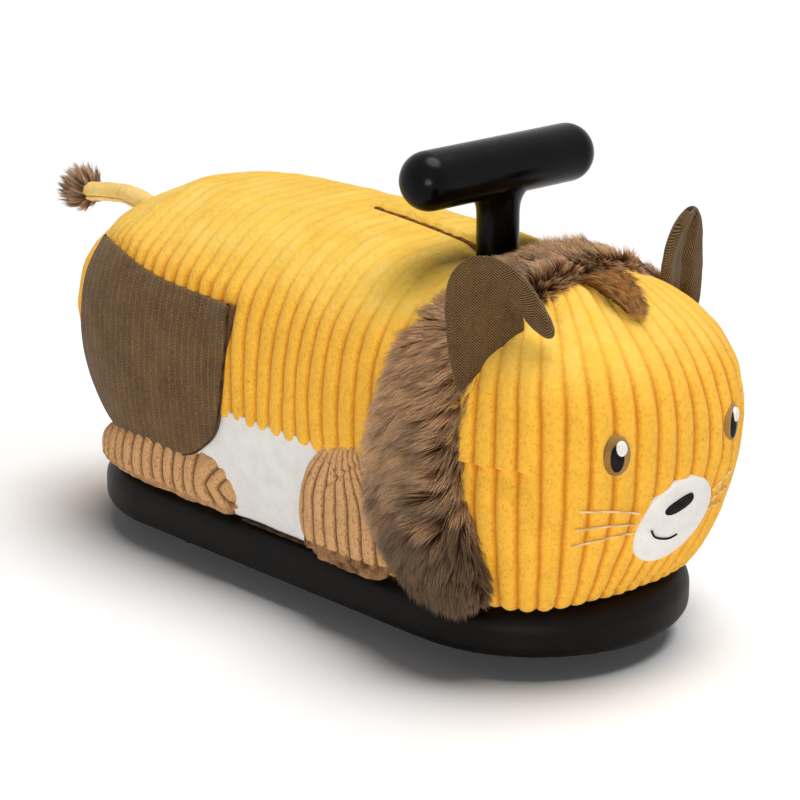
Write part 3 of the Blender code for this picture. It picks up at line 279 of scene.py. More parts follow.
def mesh_of(name, points, faces, marks=()):
    mesh = bpy.data.meshes.new(name)
    points = np.asarray(points, float)
    loops = np.concatenate([block.ravel() for block in faces])
    sides = np.concatenate([np.full(len(block), block.shape[1]) for block in faces])
    mesh.vertices.add(len(points))
    mesh.vertices.foreach_set("co", points.ravel())
    mesh.loops.add(len(loops))
    mesh.loops.foreach_set("vertex_index", loops.astype(np.int32))
    mesh.polygons.add(len(sides))
    mesh.polygons.foreach_set("loop_start", np.concatenate([[0], np.cumsum(sides)[:-1]]).astype(np.int32))
    for mark, values in dict(marks).items():
        layer = mesh.attributes.new(mark, "FLOAT", "POINT")
        layer.data.foreach_set("value", np.asarray(values, np.float32).ravel())
    mesh.update(calc_edges=True)
    return mesh


def add_piece(name, points, faces, finish, stands_for=(), marks=(), fill=None, crisp=None):
    """A piece that rides on the toy's body, with its faces turned outwards. fill, for a stuffed one, is not
    used.
    """
    material, slot = finish
    points = np.asarray(points, float) + (0, TOY_SHIFT, 0)
    mesh = mesh_of(name, points, faces, marks)
    bm = bmesh.new()
    bm.from_mesh(mesh)
    bmesh.ops.remove_doubles(bm, verts=bm.verts, dist=2e-6)
    bmesh.ops.dissolve_degenerate(bm, edges=bm.edges, dist=1e-7)
    bmesh.ops.recalc_face_normals(bm, faces=bm.faces)
    bm.to_mesh(mesh)
    bm.free()
    mesh.shade_smooth()
    if crisp:
        mesh.set_sharp_from_angle(angle=math.radians(crisp))
    piece = bpy.data.objects.new(name, mesh)
    bpy.context.scene.collection.objects.link(piece)
    mesh.materials.append(material)
    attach(piece, "toy")
    if stands_for:
        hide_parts(*stands_for)


def rounded(bm, levels):
    """The points, quads and normals of a cage after it is subdivided smoothly."""
    mesh = bpy.data.meshes.new("cage")
    bm.to_mesh(mesh)
    bm.free()
    cage = bpy.data.objects.new("cage", mesh)
    bpy.context.scene.collection.objects.link(cage)
    step = cage.modifiers.new("swell", "SUBSURF")
    step.levels = levels
    shown = cage.evaluated_get(bpy.context.evaluated_depsgraph_get())
    fine = shown.to_mesh()
    points, normals = np.zeros((2, len(fine.vertices) * 3))
    fine.vertices.foreach_get("co", points)
    fine.vertex_normals.foreach_get("vector", normals)
    quads = np.zeros(len(fine.loops), np.int32)
    fine.loops.foreach_get("vertex_index", quads)
    shown.to_mesh_clear()
    bpy.data.objects.remove(cage)
    return points.reshape(-1, 3), quads.reshape(-1, 4), normals.reshape(-1, 3)


def swollen(rings, levels, side=1):
    """The points, quads and normals of the rounded form that a cage of equal rings gives.

    The rings are for the left side, and side -1 carries them over to the right.
    """
    rings = np.asarray(rings, float) * (side, 1, 1)
    count, around = rings.shape[:2]
    bm = bmesh.new()
    verts = [bm.verts.new(point) for point in rings.reshape(-1, 3)]
    for quad in net(count, around, True):
        bm.faces.new([verts[i] for i in quad])
    bm.faces.new(verts[:around])
    bm.faces.new(verts[-around:])
    bmesh.ops.recalc_face_normals(bm, faces=bm.faces)
    return rounded(bm, levels)


def tube(route, radii, around):
    """A round tube with rounded-off closed ends along a route."""
    route = np.asarray(route, float)
    radii = np.broadcast_to(np.asarray(radii, float), len(route))
    along = unit(np.gradient(route, axis=0))
    guide = np.array([0.13, 0.21, 0.97]) if abs(along[:, 2]).mean() < 0.8 else np.array([0.97, 0.2, 0.1])
    first = unit(np.cross(along, guide))
    second = np.cross(along, first)
    turn = 2 * np.pi * np.arange(around) / around
    ring = np.cos(turn)[None, :, None] * first[:, None] + np.sin(turn)[None, :, None] * second[:, None]
    body = route[:, None] + ring * radii[:, None, None]
    caps = [
        route[end] + way * along[end] * radii[end] * 0.45 + ring[end] * radii[end] * 0.7
        for end, way in ((0, -1), (-1, 1))
    ]
    rows = np.concatenate([caps[:1], body, caps[1:]])
    tips = np.array([route[0] - along[0] * radii[0] * 0.6, route[-1] + along[-1] * radii[-1] * 0.6])
    points = np.concatenate([rows.reshape(-1, 3), tips])
    return points, closed_net(len(rows), around)


def add_thread(name, carried, lift, radii, finish):
    """A line of thread or piping that stands the lift off the cloth under it."""
    places, normals = carried
    add_piece(name, *tube(places + normals * np.reshape(lift, (-1, 1)), radii, 8), finish)


def lathe(profile, steps):
    """A solid turned about Z. The profile runs from the axis to the axis as (radius, height)."""
    profile = np.asarray(profile, float)
    turn = 2 * np.pi * np.arange(steps) / steps
    inner = profile[1:-1]
    reach, height = inner[:, :1], np.repeat(inner[:, 1:], steps, axis=1)
    points = np.stack([reach * np.cos(turn), reach * np.sin(turn), height], axis=-1).reshape(-1, 3)
    ends = [(0, 0, profile[0, 1]), (0, 0, profile[-1, 1])]
    return np.concatenate([points, ends]), closed_net(len(inner), steps)


def bend_profile(middle, radius, first, last, steps=10):
    angles = np.radians(np.linspace(first, last, steps))
    return [(middle[0] + radius * math.cos(a), middle[1] + radius * math.sin(a)) for a in angles]


# The stuffed forms that the covers follow


def half_outline(half_width, flat_end, bend, round_end, squareness):
    """One side of a level: along the flat end, up the side to the bend, then round to the middle."""
    points = [(0.0, flat_end), (0.6 * half_width, flat_end), (half_width, flat_end)]
    for share in (1 / 2, 1):
        points.append((half_width, flat_end + share * (bend - flat_end)))
    for degrees in (30, 60):
        across = math.cos(math.radians(degrees)) ** squareness
        along = math.sin(math.radians(degrees)) ** squareness
        points.append((half_width * across, bend + (round_end - bend) * along))
    points.append((0.0, round_end))
    return points


def close_level(bm, ring, last, height_at=None):
    """Closes a ring with rungs from side to side."""
    rungs = [[ring[2], ring[1], ring[0], ring[2 * last - 1], ring[2 * last - 2]]]
    for i in range(3, last):
        right, left = ring[i], ring[2 * last - i]
        inner = []
        for share in (0.6, 0.0, -0.6):
            x, y, z = right.co.x * share, right.co.y, right.co.z
            inner.append(bm.verts.new((x, y, height_at(y, abs(share)) if height_at else z)))
        rungs.append([right, *inner, left])
    for near, far in zip(rungs, rungs[1:]):
        for i in range(4):
            bm.faces.new((near[i], near[i + 1], far[i + 1], far[i]))
    for i in range(4):
        bm.faces.new((rungs[-1][i], rungs[-1][i + 1], ring[last]))


def stuffed_form(levels, height_at):
    """A tree of the smooth form through the half outlines of its levels, mirrored in X = 0."""
    bm = bmesh.new()
    creases = bm.edges.layers.float.new("crease_edge")
    last = len(levels[0]) - 1
    rings = []
    for level in levels:
        right = [bm.verts.new(point) for point in level]
        left = [bm.verts.new((-x, y, z)) for x, y, z in level[1:-1]]
        rings.append(right + left[::-1])
    for low, high in zip(rings, rings[1:]):
        for i in range(len(low)):
            j = (i + 1) % len(low)
            bm.faces.new((low[i], low[j], high[j], high[i]))
    for edge in bm.edges:
        if max(vert.co.z for vert in edge.verts) <= FLOOR_OF_BODY + 1e-4:
            edge[creases] = 1.0
    close_level(bm, rings[0], last)
    close_level(bm, rings[-1], last, height_at)
    bmesh.ops.recalc_face_normals(bm, faces=bm.faces)
    points, quads, _ = rounded(bm, 5)
    return BVHTree.FromPolygons(points.tolist(), quads.tolist())


def seat_height(y):
    return SEAT_HEIGHT + RUMP_RISE * math.exp(-(((y - RUMP_Y) / RUMP_SPREAD) ** 2))


def level_points(outline, share, top_of):
    return [(x, y, FLOOR_OF_BODY + share * (top_of(y) - FLOOR_OF_BODY)) for x, y in outline]


def torso_form():
    levels = []
    for share, half, back in TORSO_LEVELS:
        outline = half_outline(half, TORSO_FRONT, back - half * 1.05, back, 1.0)
        levels.append(level_points(outline, share, seat_height))
    return stuffed_form(levels, lambda y, share: seat_height(y) - 0.0012 * share)


def head_form():
    levels = []
    for share, half, front in HEAD_LEVELS:
        outline = half_outline(half, HEAD_BACK, HEAD_BEND, front, HEAD_SQUARENESS)
        levels.append(level_points(outline, share, lambda y: HEAD_TOP))
    slope = 0.002 / 0.03
    return stuffed_form(levels, lambda y, share: HEAD_TOP - 0.0012 * share - slope * max(0.0, HEAD_BEND - y))


TORSO = torso_form()
HEAD = head_form()


def section(tree, hub, heading):
    """The form's outline in the upright half plane from the hub, foot first, as (reach, height)."""
    middle = Vector((*hub, HUB_HEIGHT))
    line = []
    for angle in np.radians(np.linspace(-75, 90, 260)):
        way = Vector((heading[0] * math.cos(angle), heading[1] * math.cos(angle), math.sin(angle)))
        hit = tree.ray_cast(middle + way * 0.6, -way)[0]
        if hit and hit.z > FLOOR_OF_BODY + 0.0005:
            line.append(((hit.x - hub[0]) * heading[0] + (hit.y - hub[1]) * heading[1], hit.z))
    line = np.array(line)
    foot = line[0] + (line[0] - line[2]) * (line[0, 1] - FLOOR_OF_BODY) / (line[2, 1] - line[0, 1])
    line[-1, 0] = 0.0
    return np.concatenate([[foot], line])


def cover_grid(tree, planes, step_height, below, above, lip):
    """Points of a cover, column by column, where one row keeps to a height.

    lip says how far that row hangs below its height in each column. Returns the points and each
    point's way along its column past that row.
    """
    columns = []
    beyond = []
    for (hub, heading), hang in zip(planes, lip):
        line = section(tree, hub, heading)
        length = np.concatenate([[0], np.cumsum(np.linalg.norm(np.diff(line, axis=0), axis=1))])
        at_step = np.interp(step_height, line[:, 1], length) - hang
        under = np.linspace(0, at_step - 0.0012, below)
        over = at_step + (length[-1] - at_step) * np.linspace(0, 1, above)
        at = np.concatenate([under, over])
        reach = np.interp(at, length, line[:, 0])
        height = np.interp(at, length, line[:, 1])
        columns.append(np.stack([hub[0] + reach * heading[0], hub[1] + reach * heading[1], height], axis=-1))
        beyond.append(at - at_step)
    return np.array(columns), np.array(beyond)


def grid_normals(grid, inside):
    """Outward normals of a grid of points round the inside point."""
    across = np.gradient(grid, axis=0)
    along = np.gradient(grid, axis=1)
    normals = unit(np.cross(across, along))
    outward = np.sum(normals * (grid - inside), axis=-1, keepdims=True)
    return np.where(outward < 0, -normals, normals)


def wale(phase):
    """The height of a wale across its width: 0 in the groove and 1 on the crest."""
    return 1 - np.abs(2 * (phase % 1.0) - 1) ** 2.3


def cast_along(tree, starts, way):
    """Where rays from the starts meet the form, with its normals there."""
    places = []
    normals = []
    for start in starts:
        hit, normal = tree.ray_cast(Vector(start), Vector(way))[:2]
        if hit is None:
            hit, normal = tree.find_nearest(Vector(start) + Vector(way) * 0.3)[:2]
        places.append(hit)
        normals.append(normal)
    return np.array(places, float), np.array(normals, float)


def on_side(side):
    """Carries (y, z) points onto one side of the torso."""
    def carry(flat):
        starts = [(side * 0.4, y, z) for y, z in flat]
        return cast_along(TORSO, starts, (-side, 0, 0))

    return carry


def on_face(flat):
    """Carries (x, z) points onto the front of the head."""
    return cast_along(HEAD, [(x, -0.6, z) for x, z in flat], (0, 1, 0))


# Finishes


def connect(finish, socket, value):
    """Links a value that is itself a socket, and sets any other. A hex colour is turned to linear."""
    if isinstance(value, bpy.types.NodeSocket):
        finish.node_tree.links.new(value, socket)
    else:
        socket.default_value = linear(value) if isinstance(value, str) else value


def add(finish, kind, inputs=(), out=None, **settings):
    """Adds a node to a finish, and gives the output of that name or else the first in use."""
    made = finish.node_tree.nodes.new("ShaderNode" + kind)
    for setting, value in settings.items():
        setattr(made, setting, value)
    for key, value in dict(inputs).items():
        connect(finish, made.inputs[key], value)
    return made.outputs[out] if out else next(socket for socket in made.outputs if socket.enabled)


def set_shader(finish, **sockets):
    """Sets or links the shader's own sockets."""
    for name, value in sockets.items():
        connect(finish, finish.node_tree.nodes["Principled BSDF"].inputs[name.replace("_", " ")], value)
    return finish


def start_finish(name, **sockets):
    """A finish whose shader has the values that hold all over it."""
    finish = bpy.data.materials.new(name)
    finish.use_nodes = True
    return set_shader(finish, **sockets)


def per_mm(size):
    """The scale of a noise or wave whose lumps are this many millimetres across."""
    return 1000 / size


def place_of(finish):
    return add(finish, "TexCoord", out="Object")


def mark_of(finish, mark):
    """A value that the mesh carries at each of its points."""
    return add(finish, "Attribute", out="Fac", attribute_name=mark)


def noise(finish, place, size, detail, **more):
    """Smooth noise whose lumps are this many millimetres across."""
    return add(finish, "TexNoise", {"Vector": place, "Scale": per_mm(size), "Detail": detail, **more})


def mix(finish, share, first, second):
    return add(finish, "Mix", {0: share, 6: first, 7: second}, data_type="RGBA")


def work(finish, operation, *values, **settings):
    """One sum, such as MULTIPLY_ADD, on up to three values."""
    return add(finish, "Math", dict(enumerate(values)), operation=operation, **settings)


def ramp(finish, value, low=0, high=1, at_low=0, at_high=1):
    """Carries a value between low and high over to between at_low and at_high, and keeps it in there."""
    ends = {"From Min": low, "From Max": high, "To Min": at_low, "To Max": at_high}
    return add(finish, "MapRange", {"Value": value, **ends})


def bump(finish, height, strength, depth):
    return add(finish, "Bump", {"Height": height, "Strength": strength, "Distance": depth})


def corduroy(name, crest, crown, bright, groove, parting_shade, glow):
    """Wide-wale cotton corduroy, cut and brushed: soft pile on the wales, with painted shade where it parts.
    """
    finish = start_finish(
        name, Roughness=0.92, Sheen_Weight=0.08, Sheen_Roughness=0.5, IOR=1.5, Specular_IOR_Level=0.08
    )
    place = place_of(finish)
    height = mark_of(finish, "wale")
    lying = mark_of(finish, "lying")
    # Tufts of the pile, 1.3 mm across and longer up the wale
    drawn = add(finish, "VectorMath", {0: place, 1: (1.0, 1.0, 0.55)}, operation="MULTIPLY")
    tufts = noise(finish, drawn, 1.3, 2.5)
    # Locks of tufts that lean together, 4 mm across
    locks = noise(finish, place, 4.2, 2.0)
    # Cloth dyed and worn unevenly, in patches of 25 mm
    patches = noise(finish, place, 25, 3.0)
    frayed = work(finish, "MULTIPLY_ADD", tufts, 0.50, height)
    depth = ramp(finish, frayed, 0.18, 0.95)
    # Where the pile lies flat, strokes of it catch the light
    strokes = noise(finish, place, 24, 3.0, Distortion=0.6)
    caught = ramp(finish, strokes, 0.34, 0.80)
    flat = mix(finish, caught, crown, bright)
    # Painted light: lying pile, as on the covers' upward faces, takes lighter colours than standing pile
    pile = mix(finish, lying, crest, flat)
    # Its grooves too; the standing pile's dark grooves are partly painted shade
    sunk = mix(finish, lying, groove, glow)
    cloth = mix(finish, depth, sunk, pile)
    # Painted shade: dark specks where the standing pile parts, between its tufts
    parting = ramp(finish, tufts, 0.47, 0.25)
    standing = work(finish, "SUBTRACT", 0.85, lying, use_clamp=True)
    shown = work(finish, "MULTIPLY", parting, standing)
    specked = mix(finish, shown, cloth, parting_shade)
    both = work(finish, "ADD", patches, locks)
    tone = ramp(finish, both, 0.6, 1.4, 0.90, 1.10)
    varied = add(finish, "VectorMath", {0: specked, "Scale": tone}, operation="SCALE")
    lumps = work(finish, "MULTIPLY_ADD", locks, 1.6, tufts)
    nap = bump(finish, lumps, 0.6, 0.0010)
    return set_shader(finish, Base_Color=varied, Normal=nap)


def brushed_plush(name, light, dark, tuft_size):
    """Short brushed polyester plush: even and matt, with a faint lie of the pile."""
    finish = start_finish(
        name, Roughness=0.9, Sheen_Weight=0.3, Sheen_Roughness=0.5, Specular_IOR_Level=0.15
    )
    place = place_of(finish)
    tufts = noise(finish, place, tuft_size, 3.0)
    lie = noise(finish, place, 14, 2.0)
    both = work(finish, "MULTIPLY_ADD", tufts, 0.45, lie)
    share = ramp(finish, both, 0.45, 0.9)
    cloth = mix(finish, share, dark, light)
    nap = bump(finish, tufts, 0.4, 0.0004)
    return set_shader(finish, Base_Color=cloth, Normal=nap)


def woven_cloth(name, light, dark, thread, slant, stripe, stripe_shade, ridge):
    """Woven cloth: ridges of thread that slant and turn at each stripe, whose yarn has its own shade.

    thread and stripe are widths in millimetres. The mesh carries the cloth's own directions in
    metres as the marks across and along.
    """
    finish = start_finish(name, Roughness=0.88, Sheen_Weight=0.12, Specular_IOR_Level=0.2)
    across = mark_of(finish, "across")
    along = mark_of(finish, "along")
    # Distance from the nearest turn of the stripe, as a zigzag
    zigzag = work(finish, "PINGPONG", across, stripe / 2000)
    lean = work(finish, "MULTIPLY_ADD", zigzag, slant, along)
    turn = work(finish, "MULTIPLY", lean, 2 * math.pi * per_mm(thread))
    ridges = work(finish, "SINE", turn)
    place = place_of(finish)
    slubs = noise(finish, place, 1.3, 2.0)
    wear = noise(finish, place, 18, 2.0)
    yarn = work(finish, "MULTIPLY_ADD", ridges, ridge, slubs)
    worn = work(finish, "MULTIPLY_ADD", wear, 0.5, yarn)
    share = ramp(finish, worn, 0.46, 1.04)
    cloth = mix(finish, share, dark, light)
    near = ramp(finish, zigzag, 0.0004, 0.0009)
    # The stripe's yarn dips under the weft every 2.1 mm, so that it shows as a row of dashes
    dip = work(finish, "MULTIPLY", along, 2 * math.pi * per_mm(2.1))
    dips = work(finish, "SINE", dip)
    hidden = ramp(finish, dips, 0.3, -0.5)
    plain = work(finish, "MAXIMUM", near, hidden)
    tone = ramp(finish, plain, 0, 1, stripe_shade)
    striped = add(finish, "VectorMath", {0: cloth, "Scale": tone}, operation="SCALE")
    relief = bump(finish, yarn, 0.6, 0.0003)
    return set_shader(finish, Base_Color=striped, Normal=relief)


def fur_fibre(name, root, middle, tip, odd):
    """Faux fur: acrylic fibres, dark at the packed root and light at the tip, partly painted shade and
    highlight.
    """
    finish = start_finish(name, Roughness=0.42, Specular_IOR_Level=0.35)
    way_up = mark_of(finish, "way_up")
    lock = mark_of(finish, "lock")
    low = ramp(finish, way_up, 0, 0.55)
    high = ramp(finish, way_up, 0.4)
    lower = mix(finish, low, root, middle)
    whole = mix(finish, high, lower, tip)
    # A few locks of another dye
    rare = ramp(finish, lock, 0.82, 0.95)
    held = work(finish, "MULTIPLY", rare, 0.6)
    mixed = mix(finish, held, whole, odd)
    # Each strand's tone by its lock mark, which on the mane also carries painted shade
    tone = ramp(finish, lock, 0, 1, 0.34, 1.66)
    varied = add(finish, "VectorMath", {0: mixed, "Scale": tone}, operation="SCALE")
    return set_shader(finish, Base_Color=varied)


def moulded(name, colour, scuffed, roughness, grain, relief, shine=0.09):
    """Moulded plastic or rubber: fine spark-eroded grain, rubbed a little duller in patches."""
    finish = start_finish(name, Roughness=roughness, Specular_IOR_Level=shine)
    place = place_of(finish)
    grains = noise(finish, place, grain, 3.0)
    rubs = noise(finish, place, 30, 4.0)
    share = ramp(finish, rubs, 0.4, 0.75)
    tint = mix(finish, share, colour, scuffed)
    gloss = ramp(finish, share, 0, 1, roughness, roughness + 0.09)
    bumps = bump(finish, grains, relief, 0.0002)
    return set_shader(finish, Base_Color=tint, Roughness=gloss, Normal=bumps)


def plated_steel():
    """Zinc-plated steel, tumbled bright: a metal with a faint cloudy spangle."""
    finish = start_finish("zinc_plated_steel", Roughness=0.32, Metallic=1.0)
    place = place_of(finish)
    spangle = noise(finish, place, 4, 4.0)
    tint = mix(finish, spangle, "a9acaf", "cfd2d4")
    gloss = ramp(finish, spangle, 0, 1, 0.25, 0.42)
    return set_shader(finish, Base_Color=tint, Roughness=gloss)


def sewing_thread(name, colour, light, twist):
    """Spun sewing thread: matt, with the twist of its strands as fine slanting lines."""
    finish = start_finish(name, Roughness=0.75, Specular_IOR_Level=0.15)
    place = place_of(finish)
    wave = {"Vector": place, "Scale": per_mm(twist) / 20, "Distortion": 3.0, "Detail": 2.0}
    strands = add(finish, "TexWave", wave, out="Fac", bands_direction="DIAGONAL")
    tint = mix(finish, strands, colour, light)
    relief = bump(finish, strands, 0.5, 0.0002)
    return set_shader(finish, Base_Color=tint, Normal=relief)


# Each finish is paired with a slot name, which add_piece unpacks but does not use
YELLOW_CORDUROY = (
    corduroy("yellow_cotton_corduroy", "fec044", "fac94f", "fcd570", "cd7809", "e3981f", "f6bf45"),
    "yellow_corduroy",
)
TAIL_CORDUROY = (
    corduroy("pale_cotton_corduroy", "efc676", "f2c870", "fadb94", "6b3a10", "d8a550", "8a5a20"),
    "yellow_corduroy",
)
BROWN_CORDUROY = (
    corduroy("brown_cotton_corduroy", "dba873", "dba873", "dba873", "421f06", "85562b", "75491f"),
    "brown_corduroy",
)
WHITE_PLUSH = brushed_plush("white_brushed_plush", "f2efe9", "e6e2dc", 1.2), "white_velboa"
CARAMEL_PLUSH = brushed_plush("caramel_brushed_felt", "a87e40", "745422", 0.9), "brown_corduroy"
FUR_BACKING = brushed_plush("knitted_fur_backing", "553820", "3a2412", 1.0), "brown_fur"
PINSTRIPE = (
    woven_cloth("olive_pinstripe_linen", "7a5d38", "3f2a10", 1.0, 0.0, 7.3, 1.8, 0.22),
    "olive_linen",
)
EAR_TWILL = (
    woven_cloth("olive_herringbone_twill", "7e613a", "2a1a08", 1.9, 1.0, 11.0, 0.84, 0.46),
    "olive_linen",
)
MANE_FUR = fur_fibre("brown_faux_fur", "341806", "94663c", "f0c496", "5e3412"), "brown_fur"
TUFT_FUR = fur_fibre("tail_faux_fur", "46280f", "8d6747", "d0ac8a", "c2a287"), "brown_fur"
FORELOCK_FUR = fur_fibre("forelock_faux_fur", "8f5520", "ad753c", "d39c58", "e29c44"), "brown_fur"
RUBBER = moulded("moulded_soft_rubber", "0b0908", "15110e", 0.44, 0.6, 0.25), "black_rubber"
ABS = moulded("moulded_black_abs", "030201", "060403", 0.19, 0.5, 0.08, 0.10), "black_plastic"
BLACK_THREAD = sewing_thread("black_embroidery_thread", "070504", "1c1613", 1.0), "black_thread"
CREAM_THREAD = sewing_thread("cream_cotton_thread", "d9b98a", "f3dcb4", 0.8), "white_velboa"
BROWN_THREAD = sewing_thread("brown_seam_thread", "5c3613", "835424", 0.8), "black_thread"
PIPING_THREAD = sewing_thread("dark_olive_piping", "2e2011", "4d3b25", 1.2), "black_thread"
DECK = moulded("moulded_black_polypropylene", "151413", "201e1d", 0.45, 0.8, 0.3)
NYLON = moulded("moulded_grey_nylon", "37373a", "454548", 0.42, 0.7, 0.2)
STEEL = plated_steel()
# The CAD solids that are shown as they are, by a word in the node's name
CAD_FINISHES = (
    ("base_plate", DECK),
    ("socket", DECK),
    ("fork", DECK),
    ("wheel", NYLON),
    ("pin", STEEL),
    ("axle", STEEL),
    ("handle_post", STEEL),
    ("flange", STEEL),
    ("bolt", STEEL),
)


# Platform and grip


def make_rim():
    """The soft rim: one rounded section carried round the platform."""
    low = RIM_LOW.z
    inner = RIM_RADIUS - 0.018
    under = RIM_TOP - 0.0092
    profile = [(inner, low)]
    profile += bend_profile((RIM_RADIUS - 0.010, low + 0.010), 0.010, -90, 0)
    profile += bend_profile((RIM_RADIUS - 0.014, RIM_TOP - 0.014), 0.014, 0, 90, 14)
    profile = np.array(profile + [(RIM_RADIUS - 0.0142, under), (inner, under)])
    steps = 65
    angles = np.radians(np.concatenate([np.linspace(0, 180, steps), np.linspace(180, 360, steps)]))
    ends = np.repeat([RIM_HALF_STRAIGHT, -RIM_HALF_STRAIGHT], steps)
    x = np.cos(angles)[:, None] * profile[:, 0]
    y = ends[:, None] + np.sin(angles)[:, None] * profile[:, 0]
    points = np.stack([x, y, np.broadcast_to(profile[:, 1], x.shape)], axis=-1)
    rows, columns = x.shape
    quads = net(rows, columns, True)
    last = (rows - 1) * columns
    j = np.arange(columns)
    k = (j + 1) % columns
    closing = np.stack([last + j, last + k, k, j], axis=-1)
    add_piece("rim", points.reshape(-1, 3), [quads, closing], RUBBER, ["base_rim"], crisp=50)


def make_grip():
    """The T grip: a bar with rounded ends that flows into its neck."""
    # Half the bar's length, its radius, and how far its ends are rounded off
    half, radius, end = 0.08125, 0.020, 0.018
    around = 72
    bar = [(0, half)] + bend_profile((radius - end, half - end), end, 90, 0, 16)
    bar += bend_profile((radius - end, end - half), end, 0, -90, 16) + [(0, -half)]
    points, faces = lathe(bar, 64)
    bar_points = np.stack([points[:, 2], points[:, 1] + HANDLE_Y, points[:, 0] + BAR_HEIGHT], axis=-1)
    turn = 2 * np.pi * np.arange(around) / around

    def neck_ring(reach, height):
        return np.stack([reach * np.cos(turn), reach * np.sin(turn), np.broadcast_to(height, around)], -1)

    # The neck's upper end spreads in a small fillet that meets the bar's underside all round
    spread = 0.0034 + 0.0050 * np.cos(turn) ** 2
    rows = [neck_ring(0.8 * NECK_RADIUS, BAR_HEIGHT)]
    for share in np.linspace(1, 0, 12):
        reach = NECK_RADIUS + spread * share
        under = BAR_HEIGHT - np.sqrt(np.maximum(radius**2 - (reach * np.sin(turn)) ** 2, 0))
        drop = 2.2 * spread * (1 - np.sqrt(np.clip(1 - (1 - share) ** 2, 0, 1)))
        rows.append(neck_ring(reach, under - drop + 0.0004 * share))
    for share, height in ((1, 0.250), (1, 0.200), (1, NECK_FOOT + 0.001), (0.9, NECK_FOOT)):
        rows.append(neck_ring(share * NECK_RADIUS, height))
    neck = np.array(rows).reshape(-1, 3) + (0, HANDLE_Y, 0)
    points = np.concatenate([bar_points, neck, [(0, HANDLE_Y, BAR_HEIGHT), (0, HANDLE_Y, NECK_FOOT)]])
    neck_faces = [block + len(bar_points) for block in closed_net(len(rows), around)]
    add_piece("grip", points, [*faces, *neck_faces], ABS, ["handle_grip"], crisp=70)


# Covers


def phases_of(wales):
    """Where each column of a cover lies, counted in wales."""
    return np.append((np.arange(wales)[:, None] + np.array(WALE_COLUMNS)).ravel(), wales)


def torso_planes():
    """The cover's columns from the front of the right side, round the rump, to the front of the left."""
    count = TORSO_WALES * 2 + END_WALES
    phases = phases_of(count)
    pitch = (TORSO_TURN_Y - TORSO_FRONT) / TORSO_WALES
    planes = []
    for phase in phases:
        if phase <= TORSO_WALES:
            planes.append(((0, COVER_FRONT + phase * pitch * 0.9988), (-1, 0)))
        elif phase < TORSO_WALES + END_WALES:
            angle = math.pi * (1 - (phase - TORSO_WALES) / END_WALES)
            planes.append(((0, TORSO_TURN_Y), (math.cos(angle), math.sin(angle))))
        else:
            planes.append(((0, COVER_FRONT + (count - phase) * pitch * 0.9988), (1, 0)))
    return phases, planes


def shape_wales(grid, phases, lying, height):
    """How far each point of the cover stands out, from its wale and the filling's soft lumps."""
    rise = wale(phases)[:, None] * height * (1 - 0.90 * lying)
    rise = rise * (1 + 0.22 * drift(grid, 0.030, 11))
    rise = rise - height * 0.5 * (1 - 0.90 * lying)
    return rise + 0.0012 * drift(grid, 0.055, 12) + 0.0006 * drift(grid, 0.014, 13)


def moved(grid, normals, rise, wave):
    """The cover's points after they rise outwards and sway from column to column."""
    across = unit(np.gradient(grid, axis=0))
    return grid + normals * rise[..., None] + across * wave[..., None]


def add_cover(name, points, shade, lying, foot_y, end, stands_for):
    """Closes a cover of columns with a floor on the deck and a flat end towards the mane."""
    columns, rows = shade.shape
    feet = np.arange(columns) * rows
    first = np.arange(rows)
    last = (columns - 1) * rows + first
    total = columns * rows
    points = np.concatenate([points.reshape(-1, 3), [(0, foot_y, FLOOR_OF_BODY), end]])
    floor = np.stack([np.full(columns - 1, total), feet[:-1], feet[1:]], axis=-1)
    ring = np.concatenate([first, last[::-1]])
    front = np.stack([np.full(len(ring) - 1, total + 1), ring[:-1], ring[1:]], axis=-1)
    joint = np.array([[total, feet[-1], total + 1], [total, total + 1, feet[0]]])
    # The wale mark carries each point's place on its wale and any painted shade given to it
    marks = {"wale": np.append(np.clip(shade, 0, 1), [1, 1]), "lying": np.append(lying, [0, 0])}
    faces = [net(columns, rows), floor, front, joint]
    add_piece(name, points, faces, YELLOW_CORDUROY, stands_for, marks, fill=0.95)


